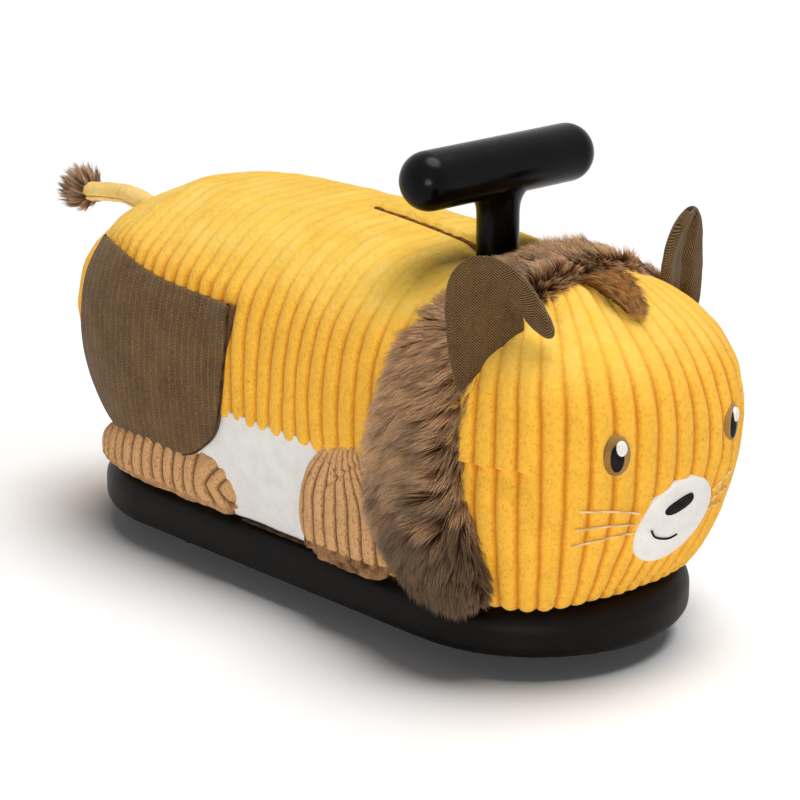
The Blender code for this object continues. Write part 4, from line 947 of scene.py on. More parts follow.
def make_torso_cover():
    phases, planes = torso_planes()
    where = np.array([hub[1] for hub, _ in planes])
    straight = (phases <= TORSO_WALES) | (phases >= TORSO_WALES + END_WALES)
    window = ease(BELLY_FRONT - 0.001, BELLY_FRONT + 0.001, where)
    window = window * ease(BELLY_BACK + 0.001, BELLY_BACK - 0.001, where) * straight
    lip = window * (0.0013 * wale(phases) + 0.0007 * np.sin(phases * 2.3))
    grid, beyond = cover_grid(TORSO, planes, BELLY_TOP, 40, 112, lip)
    x, y, z = np.moveaxis(grid, -1, 0)
    normals = grid_normals(grid, np.array([0, 0.02, 0.15]))
    spine = normals[:, -1]
    spine[:, 0] = 0
    spine[~straight] = (0, 0, 1)
    normals[:, -1] = unit(spine)
    high = ease(0.30, 0.85, normals[..., 2])
    # Over the rump the wales run together at a pole
    around_pole = np.linalg.norm(grid[..., :2] - (0, TORSO_TURN_Y), axis=-1)
    behind = y > TORSO_TURN_Y
    # The lying mark also gives the cloth on top its lighter colours, as painted light
    lying = np.maximum(high, behind * ease(0.085, 0.045, around_pole) * high)
    merged = ease(0.075, 0.030, around_pole) * behind
    rise = shape_wales(grid, phases, lying, WALE_HEIGHT) * (1 - merged)
    wave = 0.0015 * drift(grid, 0.045, 14) + 0.0006 * drift(grid, 0.017, 16)
    wave = wave * (1 - merged) * ease(0, 0.02, np.abs(x))
    # The rump is stuffed a little slacker than its pattern
    rise -= 0.0026 * ease(0.10, 0.24, y) + 0.0022 * high * ease(-0.10, 0.06, y)
    # The bottom hem: wales end rounded, over a stitched line
    foot = z - FLOOR_OF_BODY
    rise -= 0.0022 * hump(foot, 0, 0.0022) + 0.0014 * hump(foot, 0.0085, 0.0011)
    # The cut edge above the belly, rolled under
    window = window[:, None]
    edge = window * hump(np.maximum(beyond, 0), 0, 0.0016) * (beyond >= -1e-6)
    rise -= 0.0014 * edge
    tucked = (beyond < -1e-6) & (window > 0)
    rise = np.where(tucked, rise * (1 - window) - 0.0056 * window, rise)
    # The slit behind the grip, whose far lip stands up, and the cloth drawn in round the grip's neck
    on_top = z > 0.2
    slit = ease(SLIT_BACK + 0.010, SLIT_BACK + 0.002, y) * on_top
    beside = slit * ease(0.016, 0.006, np.abs(x))
    rise = rise * (1 - beside) - 0.0004 * beside
    rise -= slit * 0.0024 * hump(x, 0, 0.0024)
    lips = hump(np.abs(x), 0.0055, 0.0032)
    rise += slit * lips * (0.0008 + (x > 0) * 0.0026 * (1 + 0.6 * drift(grid, 0.005, 15)))
    near_neck = np.linalg.norm(grid[..., :2] - (0, HANDLE_Y), axis=-1) - NECK_RADIUS
    rise -= on_top * 0.0035 * hump(np.maximum(near_neck, 0), 0, 0.008)
    # The cloth bulges over the pocket's top edge
    above_pocket = z - pocket_top(y)
    rise += 0.0016 * hump(above_pocket, 0.010, 0.008) * ease(0.02, 0.045, y)
    points = moved(grid, normals, rise, wave)
    points[:, -1, 0] = np.where(straight, 0, points[:, -1, 0])
    shade = wale(phases)[:, None] * (1 - merged) + merged
    # Painted shade under the bulge over the pocket and on the slit's far lip; the rolled edge is darker too
    glow = 0.5 * hump(above_pocket, 0.004, 0.010) * ease(0.03, 0.05, y)
    shade = shade - 0.5 * glow - 0.5 * edge - 0.5 * beside * lips * (x > 0)
    stands_for = ["torso_cover", "torso_foam"]
    add_cover("body_cover", points, shade, lying, 0.02, (0, COVER_FRONT, 0.12), stands_for)


def pocket_top(y):
    """The height of the pocket's top edge along the side."""
    outline = np.array(POCKET_OUTLINE[:POCKET_TOP_POINTS])
    return np.interp(y, outline[:, 0], outline[:, 1])


def make_head_cover():
    phases = phases_of(HEAD_WALES)
    angles = np.pi * (phases / HEAD_WALES * 0.9984 + 0.0008)
    planes = [((0, HEAD_FAN_Y), (-math.cos(a), -math.sin(a))) for a in angles]
    grid, beyond = cover_grid(HEAD, planes, DART_HEIGHT, 62, 108, np.zeros(len(planes)))
    normals = grid_normals(grid, np.array([0, -0.2, 0.15]))
    normals[:, -1] = (0, 0, 1)
    # The lying mark also gives the upward faces their lighter colours, as painted light
    lying = ease(0.30, 0.75, normals[..., 2]) * 0.8
    rise = shape_wales(grid, phases, lying * 0.75, WALE_HEIGHT * 1.1)
    rise -= 0.0024 * ease(0.45, 0.95, normals[..., 2])
    merged = ease(0.050, 0.020, np.linalg.norm(grid[..., :2] - (0, HEAD_FAN_Y), axis=-1))
    rise = rise * (1 - merged)
    foot = grid[..., 2] - FLOOR_OF_BODY
    rise -= 0.0030 * hump(foot, 0, 0.0028) + 0.0015 * hump(foot, 0.0095, 0.0011)
    # The dart across each cheek: its upper edge laps over the cloth below
    turn = np.degrees(angles)
    cheek = ease(50, 40, np.minimum(turn, 180 - turn))[:, None]
    below_dart = beyond < -1e-6
    rise -= cheek * below_dart * 0.0036 * np.exp(beyond / 0.026)
    rise += cheek * ~below_dart * 0.0018 * np.exp(-beyond / 0.014)
    wave = (0.0013 * drift(grid, 0.045, 24) + 0.0005 * drift(grid, 0.015, 25)) * (1 - merged)
    points = moved(grid, normals, rise, wave)
    shade = wale(phases)[:, None] * (1 - merged) + merged
    # Painted shade: darker just under the dart's lapped upper edge
    shade = shade - 0.9 * cheek * below_dart * np.exp(beyond / 0.0022)
    stands_for = ["head_cover", "head_foam"]
    add_cover("head_cover_cloth", points, shade, lying, -0.2, (0, HEAD_BACK, 0.13), stands_for)


def make_belly(side, word):
    rows, columns = 44, 84
    z = np.linspace(FLOOR_OF_BODY, BELLY_TOP + 0.004, rows)
    y = np.linspace(BELLY_FRONT - 0.002, BELLY_BACK + 0.002, columns)
    flat = np.stack(np.meshgrid(y, z, indexing="xy"), axis=-1).reshape(-1, 2)
    places, normals = on_side(side)(flat)
    foot = places[:, 2] - FLOOR_OF_BODY
    folds = -0.0010 + 0.0009 * drift(places, 0.028, 31) + 0.0003 * drift(places, 0.009, 32)
    folds -= 0.0009 * hump(foot, 0.0095, 0.0012) + 0.0020 * hump(foot, 0, 0.0020)
    points = np.concatenate([places + normals * folds[:, None], places - normals * 0.0040])
    quads = net(rows, columns)
    total = rows * columns
    numbers = np.arange(total).reshape(rows, columns)
    rim = np.concatenate([numbers[0], numbers[1:, -1], numbers[-1, -2::-1], numbers[-2:0:-1, 0]])
    after = np.roll(rim, -1)
    edge = np.stack([rim, after, after + total, rim + total], axis=-1)
    faces = [quads, quads + total, edge]
    add_piece(f"belly_cloth_{word}", points, faces, WHITE_PLUSH, [f"belly_panel_{word}"], fill=0.4)
    y = np.linspace(BELLY_FRONT + 0.004, REAR_LEG_FRONT - 0.002, 120)
    carried = on_side(side)([(a, FLOOR_OF_BODY + 0.0016) for a in y])
    lifts = 0.0002 + 0.0005 * drift(carried[0], 0.004, 33)
    radii = 0.0012 + 0.0004 * drift(carried[0], 0.003, 34)
    add_thread(f"belly_hem_{word}", carried, lifts, radii, PIPING_THREAD)


# Sewn patches


def sewn_patch(name, outline, carry, lift, finish, stands_for, rings, sink=0.002, marks=None, fill=None):
    """A patch inside an outline: domed by lift(share, flat, places), with its edge turned under."""
    outline = np.asarray(outline, float)
    middle = outline.mean(axis=0)
    shares = np.concatenate([np.linspace(1 / rings, 0.92, rings), [0.96, 0.985, 1.0]])
    around = len(outline)
    flat = np.concatenate([middle + (outline - middle) * share for share in shares] + [outline])
    share_of = np.concatenate([np.repeat(shares, around), np.full(around, 2.0)])
    places, normals = carry(flat)
    heights = np.where(share_of > 1.5, -sink, lift(np.minimum(share_of, 1.0), flat, places))
    hub_place, hub_normal = carry([middle])
    hub_height = lift(np.zeros(1), np.array([middle]), hub_place)
    top = hub_place + hub_normal * hub_height[:, None]
    bottom = hub_place - hub_normal * sink
    points = np.concatenate([places + normals * heights[:, None], top, bottom])
    faces = closed_net(len(shares) + 1, around)
    values = marks(np.concatenate([flat, [middle], [middle]])) if marks else {}
    add_piece(name, points, faces, finish, stands_for, values, fill)


def oval(centre, size, turn, power):
    """An outline of (x, z) points: an ellipse at power 2, and squarer above it."""
    angles = 2 * np.pi * np.arange(96) / 96
    x, z = (np.sign(s) * np.abs(s) ** (2 / power) for s in (np.cos(angles), np.sin(angles)))
    x, z = x * size[0] / 2, z * size[1] / 2
    c, s = math.cos(math.radians(turn)), math.sin(math.radians(turn))
    return np.stack([centre[0] + x * c - z * s, centre[1] + x * s + z * c], -1)


def add_patch(name, outline, base, crown, edge, finish, stands_for=(), rings=16):
    """A patch on the face: it stands on a base, swells by its crown and falls over a rounded edge."""
    def lift(share, flat, places):
        fall = np.sqrt(np.clip(1 - (np.maximum(share - (1 - edge), 0) / edge) ** 2, 0, 1))
        return (base + crown * (1 - share**2)) * fall

    sewn_patch(name, outline, on_face, lift, finish, stands_for, rings)


def make_face():
    whisker_steps = 26
    muzzle = oval((0.0018, 0.1115), (0.0675, 0.0615), 10, 2)
    add_patch("muzzle", muzzle, 0.0030, 0.0026, 0.06, WHITE_PLUSH, ["muzzle_patch"], 24)
    nose = oval((-0.003, 0.1262), (0.0262, 0.0096), 18, 2.5)
    add_patch("nose", nose, 0.0060, 0.0014, 0.25, BLACK_THREAD, ["nose_patch"])
    for side, word in SIDES:
        x, z = EYES[word]
        eye = oval((x, z), (0.0178, 0.0272), 0, 2.1)
        add_patch(f"eye_ring_{word}", eye, 0.0022, 0.0006, 0.2, CARAMEL_PLUSH, [f"eye_{word}"])
        pupil = oval((x - 0.0006, z - 0.0012), (0.0098, 0.0196), 0, 2.1)
        add_patch(f"pupil_{word}", pupil, 0.0029, 0.0006, 0.2, BLACK_THREAD)
        glint = oval((x + 0.0020, z + 0.0048), (0.0080, 0.0108), 0, 2)
        add_patch(f"glint_{word}", glint, 0.0040, 0.0005, 0.3, WHITE_PLUSH)
        for number, (x0, z0, z1) in enumerate(WHISKERS):
            x1 = WHISKER_ENDS[word]
            middle = (side * (x0 + x1) / 2, (z0 + z1) / 2 + 0.0015)
            line = smooth_line([(side * x0, z0), middle, (side * x1, z1)], whisker_steps)
            lifts = 0.0025 + 0.0002 * np.sin(np.arange(whisker_steps))
            add_thread(f"whisker_{word}_{number + 1}", on_face(line), lifts, 0.0006, CREAM_THREAD)
    add_thread("smile_stitch", on_face(smooth_line(SMILE, 60)), 0.0058, 0.0007, BLACK_THREAD)


def make_pocket(side, word):
    corners = np.array(POCKET_OUTLINE)
    steps = 76
    top_edge = smooth_line(corners[:POCKET_TOP_POINTS], steps)
    rest = smooth_line(np.concatenate([corners[POCKET_TOP_POINTS - 1 :], corners[:1]]), 140)
    outline = np.concatenate([top_edge, rest[1:-1]])

    def loose_corner(flat):
        return hump(np.linalg.norm(flat - LOOSE_CORNER, axis=1), 0, 0.016)

    def lift(share, flat, places):
        slack = 0.0006 * drift(places, 0.030, 41) + 0.0002 * drift(places, 0.010, 42)
        hem = 0.0005 * hump(share, 0.955, 0.012)
        base = 0.0030 + 0.0008 * (1 - share**4) + slack + hem + 0.0050 * loose_corner(flat)
        return base * np.where(share > 0.999, 0.72, 1.0)

    def weave(flat):
        return {"across": flat[:, 0], "along": flat[:, 1]}

    node = [f"side_pocket_{word}"]
    sewn_patch(f"pocket_{word}", outline, on_side(side), lift, PINSTRIPE, node, 44, 0.001, weave, 0.3)
    # The piping runs round all but the top edge
    bound = outline[np.r_[steps - 1 : len(outline), 0:3]]
    lifts = 0.0022 + 0.0046 * loose_corner(bound)
    add_thread(f"pocket_piping_{word}", on_side(side)(bound), lifts, 0.0009, PIPING_THREAD)


# Legs


def add_leg(name, node, form, rise, shade):
    """A leg's cloth: the swollen form, raised by its wales and hems."""
    points, quads, normals = form
    marks = {"wale": np.clip(shade, 0, 1), "lying": np.zeros(len(points))}
    add_piece(name, points + normals * rise[:, None], [quads], BROWN_CORDUROY, [node], marks, fill=0.8)


def rear_leg_cage():
    """The left leg's rings: it lies along the rim, straight at first and then round its bend."""
    line = RIM_RADIUS - 0.003
    straight = RIM_HALF_STRAIGHT - REAR_LEG_FRONT
    turned = math.radians(38) * line
    rings = []
    for station, (height_share, fullness) in enumerate(REAR_LEG_SHARES):
        along = (straight + turned) * station / (len(REAR_LEG_SHARES) - 1)
        angle = max(0.0, along - straight) / line
        out = np.array([math.cos(angle), math.sin(angle)])
        middle = out * line + (0, RIM_HALF_STRAIGHT) if angle else np.array([line, REAR_LEG_FRONT + along])
        height = REAR_LEG_HEIGHT * height_share
        shape = (
            (-0.012, -0.002),
            (-0.0022, 0.001),
            (0.01045 * fullness, height * 0.22),
            (0.011 * fullness, height * 0.62),
            (0.00385 * fullness, height * 0.98),
            (-0.012, height),
        )
        rings.append([(*(middle + out * reach), FLOOR_OF_BODY + rise) for reach, rise in shape])
    return rings, straight, line


def make_rear_leg(side, word):
    rings, straight, line = rear_leg_cage()
    points, quads, normals = swollen(rings, 5, side)
    x, y, z = points.T
    turn = np.arctan2(np.maximum(y - RIM_HALF_STRAIGHT, 0), np.abs(x))
    along = np.where(turn > 0, straight + turn * line, y - REAR_LEG_FRONT)
    lift = z - FLOOR_OF_BODY
    # At the paw the wales lean into each other, as nested arrows
    paw = ease(0.038, 0.012, along)
    wales = wale((along + paw * np.abs(lift - 0.024) * 0.75) / LEG_WALE)
    rise = (wales * 0.0027 - 0.0012) * ease(0.007, 0.013, lift)
    rise += 0.0008 * drift(points, 0.020, 51) + 0.0004 * drift(points, 0.006, 52)
    # Two rough hem rows above the rim
    for row in (0.0035, 0.0095):
        rise += 0.0011 * hump(lift, row, 0.0018) * (1 + 0.6 * drift(points, 0.005, 53))
    rise -= 0.0012 * hump(lift, 0.0066, 0.0011)
    shade = wales * (0.75 + 0.25 * ease(0.010, 0.030, lift))
    shade = np.where(lift < 0.012, 0.45 + 0.2 * drift(points, 0.004, 54), shade)
    add_leg(f"rear_leg_cloth_{word}", f"rear_leg_{word}", (points, quads, normals), rise, shade)


def make_front_leg(side, word):
    outline = np.array(FRONT_LEG_OUTLINE)
    middle = outline.mean(axis=0)
    rings = []
    for reach, size in ((-0.012, 1.0), (0.0, 1.0), (0.0088, 0.9), (0.011, 0.45)):
        flat = middle + (outline - middle) * size
        rings.append([(RIM_RADIUS + reach, y, z) for y, z in flat])
    points, quads, normals = swollen(rings, 5, side)
    points[:, 2] = np.maximum(points[:, 2], FLOOR_OF_BODY)
    y, z = points[:, 1], points[:, 2]
    lift = z - FLOOR_OF_BODY
    # The wales rise from the hem and lean together towards the top
    drawn_in = 1 - 0.72 * ease(0.094, 0.146, z)
    wales = wale((y + 0.083) / (LEG_WALE * drawn_in) + 0.12 * drift(points, 0.05, 61))
    rise = (wales * 0.0026 - 0.0012) * ease(0.008, 0.016, lift)
    rise += 0.0010 * drift(points, 0.022, 62) + 0.0004 * drift(points, 0.006, 63)
    for row in (0.0035, 0.0100):
        rise += 0.0022 * hump(lift, row, 0.0021) * (1 + 0.8 * drift(points, 0.004, 64))
    # The fold where the leg bends
    fold = (y + 0.085) * 0.8 + (z - 0.118)
    rise -= 0.0020 * hump(fold, 0, 0.0022) * ease(0.10, 0.115, z)
    shade = np.where(lift < 0.0138, 0.16 + 0.30 * drift(points, 0.004, 65), wales)
    add_leg(f"front_leg_cloth_{word}", f"front_leg_{word}", (points, quads, normals), rise, shade)


# Fur


def add_fur(name, roots, ways, lengths, radii, sag, locks, finish, stands_for=(), pressed=None):
    """Slim closed spikes from the roots. Each bends from its first way to its last, and sags.

    pressed, where it is given, moves the points last.
    """
    count = len(roots)
    first, last = ways
    centre = np.zeros((count, len(STRAND_SHARES), 3))
    for k, t in enumerate(STRAND_SHARES):
        centre[:, k] = roots + lengths[:, None] * (first * (t - t * t * 0.5) + last * (t * t * 0.5))
    centre[:, 1:] += sag
    along = unit(np.gradient(centre, axis=1))
    side = unit(np.cross(along, np.array([0.31, 0.17, 0.93])))
    over = np.cross(along, side)
    points = []
    for k, taper in enumerate((1.0, 0.92, 0.6)):
        for a in 2 * np.pi * np.arange(3) / 3:
            ring = side[:, k] * math.cos(a) + over[:, k] * math.sin(a)
            points.append(centre[:, k] + ring * (radii * taper)[:, None])
    points.append(centre[:, 3])
    points = np.stack(points, axis=1)
    per_strand = points.shape[1]
    points = points.reshape(-1, 3)
    if pressed:
        points = pressed(points)
    # Three rings of three points and a tip
    start = (np.arange(count) * per_strand)[:, None, None]
    spike = (net(3, 3, True), np.concatenate([fan(9, [6, 7, 8]), [[2, 1, 0]]]))
    faces = [(block[None] + start).reshape(-1, block.shape[1]) for block in spike]
    way_up = np.repeat(STRAND_SHARES, (3, 3, 3, 1))
    marks = {"way_up": np.tile(way_up, count), "lock": np.repeat(locks, per_strand)}
    add_piece(name, points, faces, finish, stands_for, marks)


def scatter(points, quads, normals, count, rng, keep=None):
    """Even random places on a skin, with its normals there."""
    corners = points[quads]
    area = np.linalg.norm(np.cross(corners[:, 2] - corners[:, 0], corners[:, 3] - corners[:, 1]), axis=1) / 2
    if keep is not None:
        area = area * keep(corners.mean(axis=1))
    picked = rng.choice(len(quads), count, p=area / area.sum())
    u, v = rng.random((2, count, 1))

    def between(values):
        a, b, c, d = (values[:, k] for k in range(4))
        return (a * (1 - u) + b * u) * (1 - v) + (d * (1 - u) + c * u) * v

    return between(corners[picked]), unit(between(normals[quads[picked]]))


def gather(roots, ways, per_lock, rng, pull):
    """Draws the ways of neighbouring strands towards those of their lock's own strand."""
    count = len(roots)
    heads = rng.choice(count, max(1, count // per_lock), replace=False)
    tree = KDTree(len(heads))
    for i, head in enumerate(heads):
        tree.insert(roots[head], i)
    tree.balance()
    lock = np.array([tree.find(root)[1] for root in roots])
    owner = heads[lock]
    return lock, owner, [unit(way + (way[owner] - way) * pull) for way in ways]


def sag_of(roots, ways, lengths, owner, share):
    """How far each strand's points are drawn towards the tip of its lock's own strand."""
    tips = roots + lengths[:, None] * (ways[0] + ways[1]) / 2
    return np.array([0.12, 0.5, 1.0])[None, :, None] * ((tips[owner] - tips) * share)[:, None]


def mane_rings(rise, sink):
    """Rings round the mane's arch, from foot to foot."""
    stations = list(MANE_STATIONS)
    stations += [(-x, share, front, back) for x, share, front, back in MANE_STATIONS[-2::-1]]
    head_height = HEAD_TOP - RIM_TOP
    centre = np.array([0, RIM_TOP + 0.33 * head_height])
    rings = []
    for x, share, front, back in stations:
        z = RIM_TOP + share * head_height
        out = unit(np.array([x, z]) - centre)
        middle = (front + back) / 2
        half = (back - front) / 2
        shape = (
            (-half, -sink),
            (-half * 0.94, rise * 1.05),
            (0.0, rise * 1.12),
            (half * 0.92, rise * 0.5),
            (half, -sink),
        )
        rings.append([(x + out[0] * reach, middle + along, z + out[1] * reach) for along, reach in shape])
    return rings


def mane_ways(roots, facing, top, low, fringe, rng):
    """The way that each of the mane's strands leaves its root, and the way that it ends up."""
    y = roots[:, 1]
    top, low, fringe = top[:, None], low[:, None], fringe[:, None]
    swirl, small_swirl = drift(roots, 0.035, 71)[:, None], drift(roots, 0.016, 72)[:, None]
    jitter = rng.normal(0, 0.12, roots.shape)
    back, down, right = np.array([0, 1.0, 0]), np.array([0, 0, -1.0]), np.array([-1.0, 0, 0])
    side_way = back * 0.85 + down * (0.50 + 0.50 * swirl) + facing * 0.22
    low_way = down * 1.0 + back * (-0.20 + 0.5 * swirl) + facing * 0.10
    top_way = facing * 0.26 + back * (0.55 + 0.55 * swirl) + right * (0.30 + 0.6 * small_swirl)
    # Along the top's front edge the strands fall forward over the crest of the head
    over_crest = (ease(-0.188, -0.203, y) * ease(0.056, 0.040, np.abs(roots[:, 0])))[:, None]
    top_way = top_way * (1 - 0.75 * over_crest) + (facing * 0.30 - back * 0.80) * over_crest
    way = side_way * (1 - low) * (1 - top) + low_way * low + top_way * top
    first = unit(facing * (0.60 - 0.30 * top) + way * 0.6 + jitter)
    last = unit(way + 0.5 * jitter + down * 0.45 * (1 - top) + 0.35 * small_swirl * down)
    forward = facing * 0.8 + np.array([0, -0.25, -0.65])
    first = unit(first * (1 - fringe) + forward * fringe)
    return first, unit(last * (1 - 0.6 * fringe) + forward * 0.6 * fringe)


def make_mane():
    rng = np.random.default_rng(7)
    points, quads, normals = swollen(mane_rings(0.009, 0.012), 4)
    points[:, 2] = np.maximum(points[:, 2], FLOOR_OF_BODY + 0.0005)
    add_piece("mane_backing", points, [quads], FUR_BACKING, ["mane"], fill=0.7)

    def outer(at):
        inward = np.linalg.norm(at[:, [0, 2]] - (0, 0.12), axis=1)
        return (inward > 0.098) | (at[:, 2] < 0.09)

    roots, facing = scatter(points, quads, normals, MANE_STRANDS, rng, outer)
    y, z = roots[:, 1], roots[:, 2]
    top = ease(0.200, 0.252, z)
    low = ease(0.125, 0.060, z)
    # A fringe along the front edge stands out over the seam with the head
    fringe = 0.8 * ease(-0.188, -0.198, y) * (1 - top)
    ways = mane_ways(roots, facing, top, low, fringe, rng)
    lengths = (0.037 * (1 - top) + 0.017 * top) * rng.uniform(0.6, 1.08, MANE_STRANDS)
    lengths *= (1 - 0.52 * low) * (1 - 0.45 * fringe)
    # Towards the mane's back edge the strands stay short enough to keep inside the collar
    lengths *= 1 - 0.55 * ease(-0.150, -0.118, y) * (1 - top)
    lock, owner, ways = gather(roots, ways, 40, rng, 0.50)
    drawn = 0.32 * (1 - 0.55 * low) * (1 - 0.6 * fringe)
    sag = sag_of(roots, ways, lengths, owner, drawn[:, None])
    own = np.random.default_rng(8).random(lock.max() + 1)[lock] * 0.6 + rng.random(MANE_STRANDS) * 0.4
    # Painted shade: darker low down and along the fringe at the head's seam; a little darker on top too
    darker = 0.08 * top + 0.85 * ease(0.155, 0.075, z) + 0.20 * fringe
    shade = np.clip(own * 0.95 + 0.08 + 0.20 * drift(roots, 0.014, 73) - darker, 0, 1)
    radii = rng.uniform(0.00016, 0.00034, MANE_STRANDS)
    roots = roots - facing * 0.001

    def pressed(at):
        """Keeps the strands above the rim, and presses in the outermost, as a hand leaves them."""
        wide = np.abs(at[:, 0])
        over = MANE_REACH + (wide - MANE_REACH) * 0.52
        at[:, 0] = np.sign(at[:, 0]) * np.where(wide > MANE_REACH, over, wide)
        at[:, 2] = np.maximum(at[:, 2], MANE_FLOOR)
        return at

    for number, part in enumerate(np.array_split(rng.permutation(MANE_STRANDS), MANE_PIECES)):
        some_ways = [way[part] for way in ways]
        rest = (lengths[part], radii[part], sag[part], shade[part])
        add_fur(f"mane_fur_{number + 1}", roots[part], some_ways, *rest, MANE_FUR, pressed=pressed)


def ball(centre, size, rows, columns):
    """The points, quads and normals of a stretched ball."""
    lat = np.radians(np.linspace(-89, 89, rows))
    lon = 2 * np.pi * np.arange(columns) / columns
    a, b = np.meshgrid(lat, lon, indexing="ij")
    flat = np.stack([np.cos(a) * np.cos(b), np.cos(a) * np.sin(b), np.sin(a)], -1).reshape(-1, 3)
    return flat * np.array(size) / 2 + centre, net(rows, columns, True), unit(flat / np.array(size))


def make_tuft():
    rng = np.random.default_rng(17)
    centre = np.array([0, 0.356, SEAT_HEIGHT - 0.0405])
    count = 4200
    rows, columns = 16, 24
    points, quads, normals = ball(centre + (0, -0.004, 0), (0.018, 0.018, 0.020), rows, columns)
    poles = [points[:columns].mean(axis=0), points[-columns:].mean(axis=0)]
    heart = np.concatenate([points, poles])
    marks = {"way_up": np.zeros(len(heart)), "lock": np.full(len(heart), 0.3)}
    add_piece("tuft_heart", heart, closed_net(rows, columns), TUFT_FUR, ["tail_tuft"], marks)
    roots, facing = scatter(points, quads, normals, count, rng)
    roots = centre + (0, -0.012, 0) + (roots - centre - (0, -0.006, 0)) * 0.75
    jitter = rng.normal(0, 0.20, (count, 3))
    first = unit(facing * 0.8 + np.array([0, 0.85, 0.1]) + jitter * 0.6)
    last = unit(facing * 0.32 + np.array([0, 1.0, 0.45]) + jitter)
    lock, owner, ways = gather(roots, (first, last), 12, rng, 0.7)
    lengths = rng.uniform(0.012, 0.024, count)
    sag = sag_of(roots, ways, lengths, owner, 0.45)
    shade = np.random.default_rng(18).random(lock.max() + 1)[lock]
    radii = rng.uniform(0.00018, 0.00036, count)
    add_fur("tuft_fur", roots, ways, lengths, radii, sag, shade, TUFT_FUR)


def make_forelock():
    rng = np.random.default_rng(27)
    count = 5600
    y = rng.uniform(-0.247, -0.205, count)
    x = np.clip(rng.normal(0, 0.0062, count), -0.013, 0.013) * (0.5 + 0.5 * ease(-0.247, -0.225, y)) - 0.006
    roots, facing = cast_along(HEAD, [(a, b, 0.5) for a, b in zip(x, y)], (0, 0, -1))
    forward = np.array([0, -1.0, 0])
    jitter = rng.normal(0, 0.08, (count, 3))
    swirl = drift(roots, 0.016, 81)[:, None]
    first = unit(facing * 0.55 + forward * 0.8 + jitter + swirl * np.array([0.3, 0, 0]))
    slope = forward - facing * (forward @ facing.T)[:, None]
    last = unit(unit(slope) + facing * 0.02 + jitter + swirl * np.array([0.4, 0, 0]))
    lock, owner, ways = gather(roots, (first, last), 14, rng, 0.45)
    lengths = rng.uniform(0.012, 0.023, count) * (1 - 0.35 * ease(-0.230, -0.247, y))
    sag = sag_of(roots, ways, lengths, owner, 0.25)
    shade = np.random.default_rng(28).random(lock.max() + 1)[lock] * 0.7 + 0.1
    radii = rng.uniform(0.00017, 0.00030, count)
    add_fur(
        "forelock_fur", roots - facing * 0.001, ways, lengths, radii, sag, shade, FORELOCK_FUR, ["forelock"]
    )


# Ears and tail


def ear_rings(rows, thickness, cup_depth):
    """Rings up the ear, from an outer and an inner edge point for each row."""
    rings = []
    last_facing = None
    for number, (outer, inner) in enumerate(rows):
        outer, inner = np.array(outer), np.array(inner)
        near = [np.mean(row, axis=0) for row in rows[max(0, number - 1) : number + 2]]
        across = outer - inner
        wide = np.linalg.norm(across)
        facing = unit(np.cross(across, near[-1] - near[0]))
        if last_facing is not None and facing @ last_facing < 0 or last_facing is None and facing[1] > 0:
            facing = -facing
        last_facing = facing
        thick = thickness / 2 * min(1.0, wide / thickness)
        cup = cup_depth * min(1.0, wide / 0.05)
        ring = []
        for part, deep in ((-1, 0), (-0.55, 1), (0.55, 1), (1, 0), (0.55, -1), (-0.55, -1)):
            bow = cup * (part**2 - 0.6)
            ring.append((outer + inner) / 2 + across * (part / 2) + facing * (deep * thick + bow))
        rings.append(ring)
    return rings


def make_ear(side, word, rows, crease, roll):
    points, quads, normals = swollen(ear_rings(rows, 0.010, 0.010), 5, side)
    outer, inner = (np.array([row[k] for row in rows[:4]]) for k in (0, 1))
    across = unit((outer - inner).mean(axis=0) * (side, 1, 1))
    up = (outer[-1] + inner[-1] - outer[0] - inner[0]) * (side, 1, 1)
    along = unit(np.cross(across, np.cross(up, across)))
    rise = 0.0007 * drift(points, 0.018, 91) + 0.0003 * drift(points, 0.006, 92)
    # Place across the ear: -1 at its inner edge, 1 at its outer edge
    steps = 60
    spine = smooth_line([np.mean(row, axis=0) * (side, 1, 1) for row in rows], steps)
    widths = smooth_line([(np.linalg.norm(np.subtract(*row)) / 2, 0, 0) for row in rows], steps)[:, 0]
    nearest = np.argmin(np.linalg.norm(points[:, None] - spine[None], axis=2), axis=1)
    share = ((points - spine[nearest]) @ across) / np.maximum(widths[nearest], 0.006)
    # A crease and a rolled edge on the ear's front, which fade towards the tip
    front = ease(0.1, -0.3, normals[:, 1]) * ease(58, 44, nearest)
    rise -= crease * hump(share, 0.12, 0.15) * front
    rise += roll * hump(share, -0.62, 0.22) * front
    marks = {"across": points @ across, "along": points @ along}
    raised = points + normals * rise[:, None]
    add_piece(f"ear_cloth_{word}", raised, [quads], EAR_TWILL, [f"ear_{word}"], marks, fill=0.5)


def make_tail():
    route = smooth_line([(0, y, SEAT_HEIGHT - below) for y, below in TAIL_LINE], 90)
    points, faces = tube(route, 0.0075, 40)
    middle = route[np.argmin(np.abs(route[None, :, 1] - points[:, 1:2]), axis=1)]
    out = unit(points - middle)
    low_seam = hump(np.arctan2(out[:, 2], -out[:, 0]), -0.45, 0.10)
    rise = -0.0014 * low_seam + 0.0006 * drift(points, 0.016, 95) + 0.0003 * drift(points, 0.005, 96)
    rise += 0.0010 * hump(points[:, 1], 0.295, 0.004) * drift(points, 0.010, 97)
    marks = {"wale": np.clip(1 - low_seam * 1.2, 0, 1), "lying": np.ones(len(points))}
    add_piece("tail_roll", points + out * rise[:, None], faces, TAIL_CORDUROY, ["tail"], marks, fill=0.8)


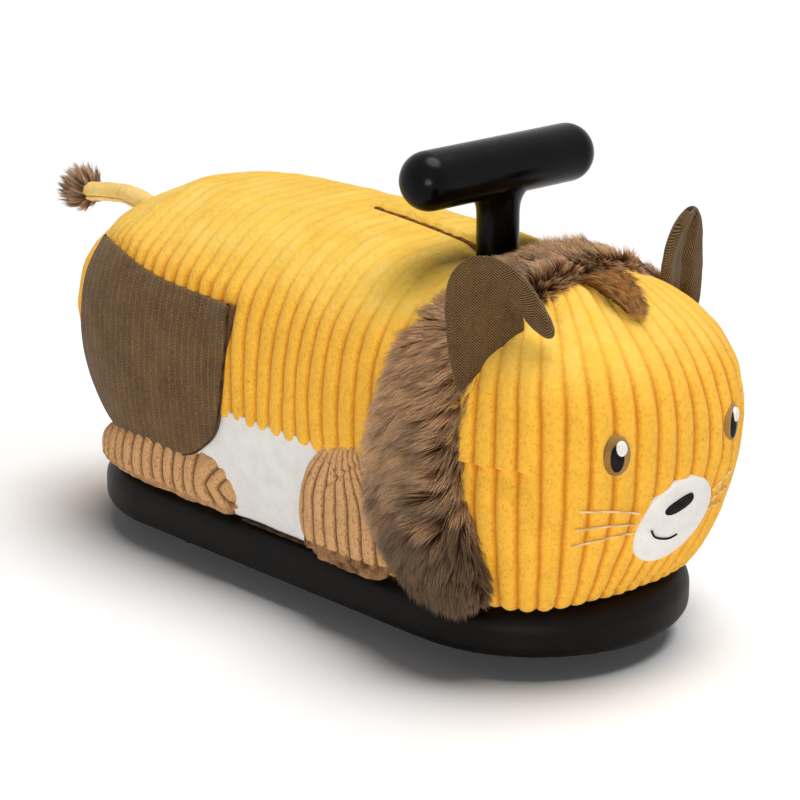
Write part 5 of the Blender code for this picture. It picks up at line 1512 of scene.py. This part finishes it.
def make_slit():
    """The slit: a slightly wavy line of dark thread down in the cover, for its sewn edge and the slit's
    painted shade.
    """
    y = np.linspace(HANDLE_Y + NECK_RADIUS, SLIT_BACK, 70)
    x = 0.0007 * np.sin(y * 210) + 0.0004 * np.sin(y * 530)
    carried = cast_along(TORSO, [(a, b, 0.5) for a, b in zip(x, y)], (0, 0, -1))
    add_thread("slit_seam_and_shade", carried, -0.0014, 0.0017 + 0.00015 * np.sin(y * 700), BROWN_THREAD)


def finish_cad_solids():
    """The solids under the rim and in the body are shown as the CAD has them."""
    for node_name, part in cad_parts.items():
        for word, finish in CAD_FINISHES:
            if word in node_name:
                for number in range(len(part.data.materials)):
                    part.data.materials[number] = finish
                break


# Studio


def stage(thing):
    """Puts a thing that only serves the picture in the scene."""
    bpy.context.scene.collection.objects.link(thing)


def make_floor():
    size = 12.0
    corners = np.array([(-size, -size, 0), (size, -size, 0), (size, size, 0), (-size, size, 0)], float)
    mesh = mesh_of("studio_floor", corners, [np.array([[0, 1, 2, 3]])])
    paper = start_finish("white_paper_floor", Roughness=0.9, Base_Color="fcfcfc", Specular_IOR_Level=0.0)
    mesh.materials.append(paper)
    stage(bpy.data.objects.new("studio_floor", mesh))


def make_light():
    """Two soft suns, and a world that is white where it is seen or mirrored but lights the toy faintly."""
    world = bpy.data.worlds.new("white_studio")
    world.use_nodes = True
    bpy.context.scene.world = world
    white = add(world, "LightPath", out="Is Camera Ray")
    rays = white.node.outputs
    for ray in ("Is Glossy Ray", "Is Transmission Ray"):
        white = work(world, "ADD", white, rays[ray], use_clamp=True)
    back = world.node_tree.nodes["Background"]
    back.inputs["Color"].default_value = (1, 1, 1, 1)
    level = ramp(world, white, 0, 1, 0.085)
    connect(world, back.inputs["Strength"], level)
    for name, way, power, spread in (
        ("soft_overhead", (0.16, -0.13, 0.978), 3.05, 42),
        ("low_front", (-0.76, -0.62, 0.05), 1.62, 24),
    ):
        lamp = bpy.data.lights.new(name, "SUN")
        lamp.energy = power
        lamp.angle = math.radians(spread)
        sun = bpy.data.objects.new(name, lamp)
        sun.rotation_euler = Vector(way).to_track_quat("Z", "Y").to_euler()
        stage(sun)


def make_camera():
    lens = bpy.data.cameras.new("camera")
    lens.lens = 135
    lens.sensor_width = 36
    camera = bpy.data.objects.new("camera", lens)
    bpy.context.scene.collection.objects.link(camera)
    azimuth, elevation, distance = math.radians(-42.19), math.radians(17.47), 2.116
    target = Vector((-0.0004, -0.0599, 0.1313))
    level = math.cos(elevation)
    way = Vector((math.sin(azimuth) * level, -math.cos(azimuth) * level, math.sin(elevation)))
    camera.location = target + way * distance
    camera.rotation_euler = way.to_track_quat("Z", "Y").to_euler()
    bpy.context.scene.camera = camera
    bpy.context.scene.view_settings.view_transform = "Standard"


make_rim()
make_grip()
make_torso_cover()
make_head_cover()
for side, word in SIDES:
    make_belly(side, word)
    make_pocket(side, word)
    make_rear_leg(side, word)
    make_front_leg(side, word)
make_face()
make_mane()
make_tuft()
make_forelock()
make_ear(-1, "right", RIGHT_EAR_ROWS, 0.0, 0.0008)
make_ear(1, "left", LEFT_EAR_ROWS, 0.0042, 0.0030)
make_tail()
make_slit()
finish_cad_solids()
make_floor()
make_light()
make_camera()
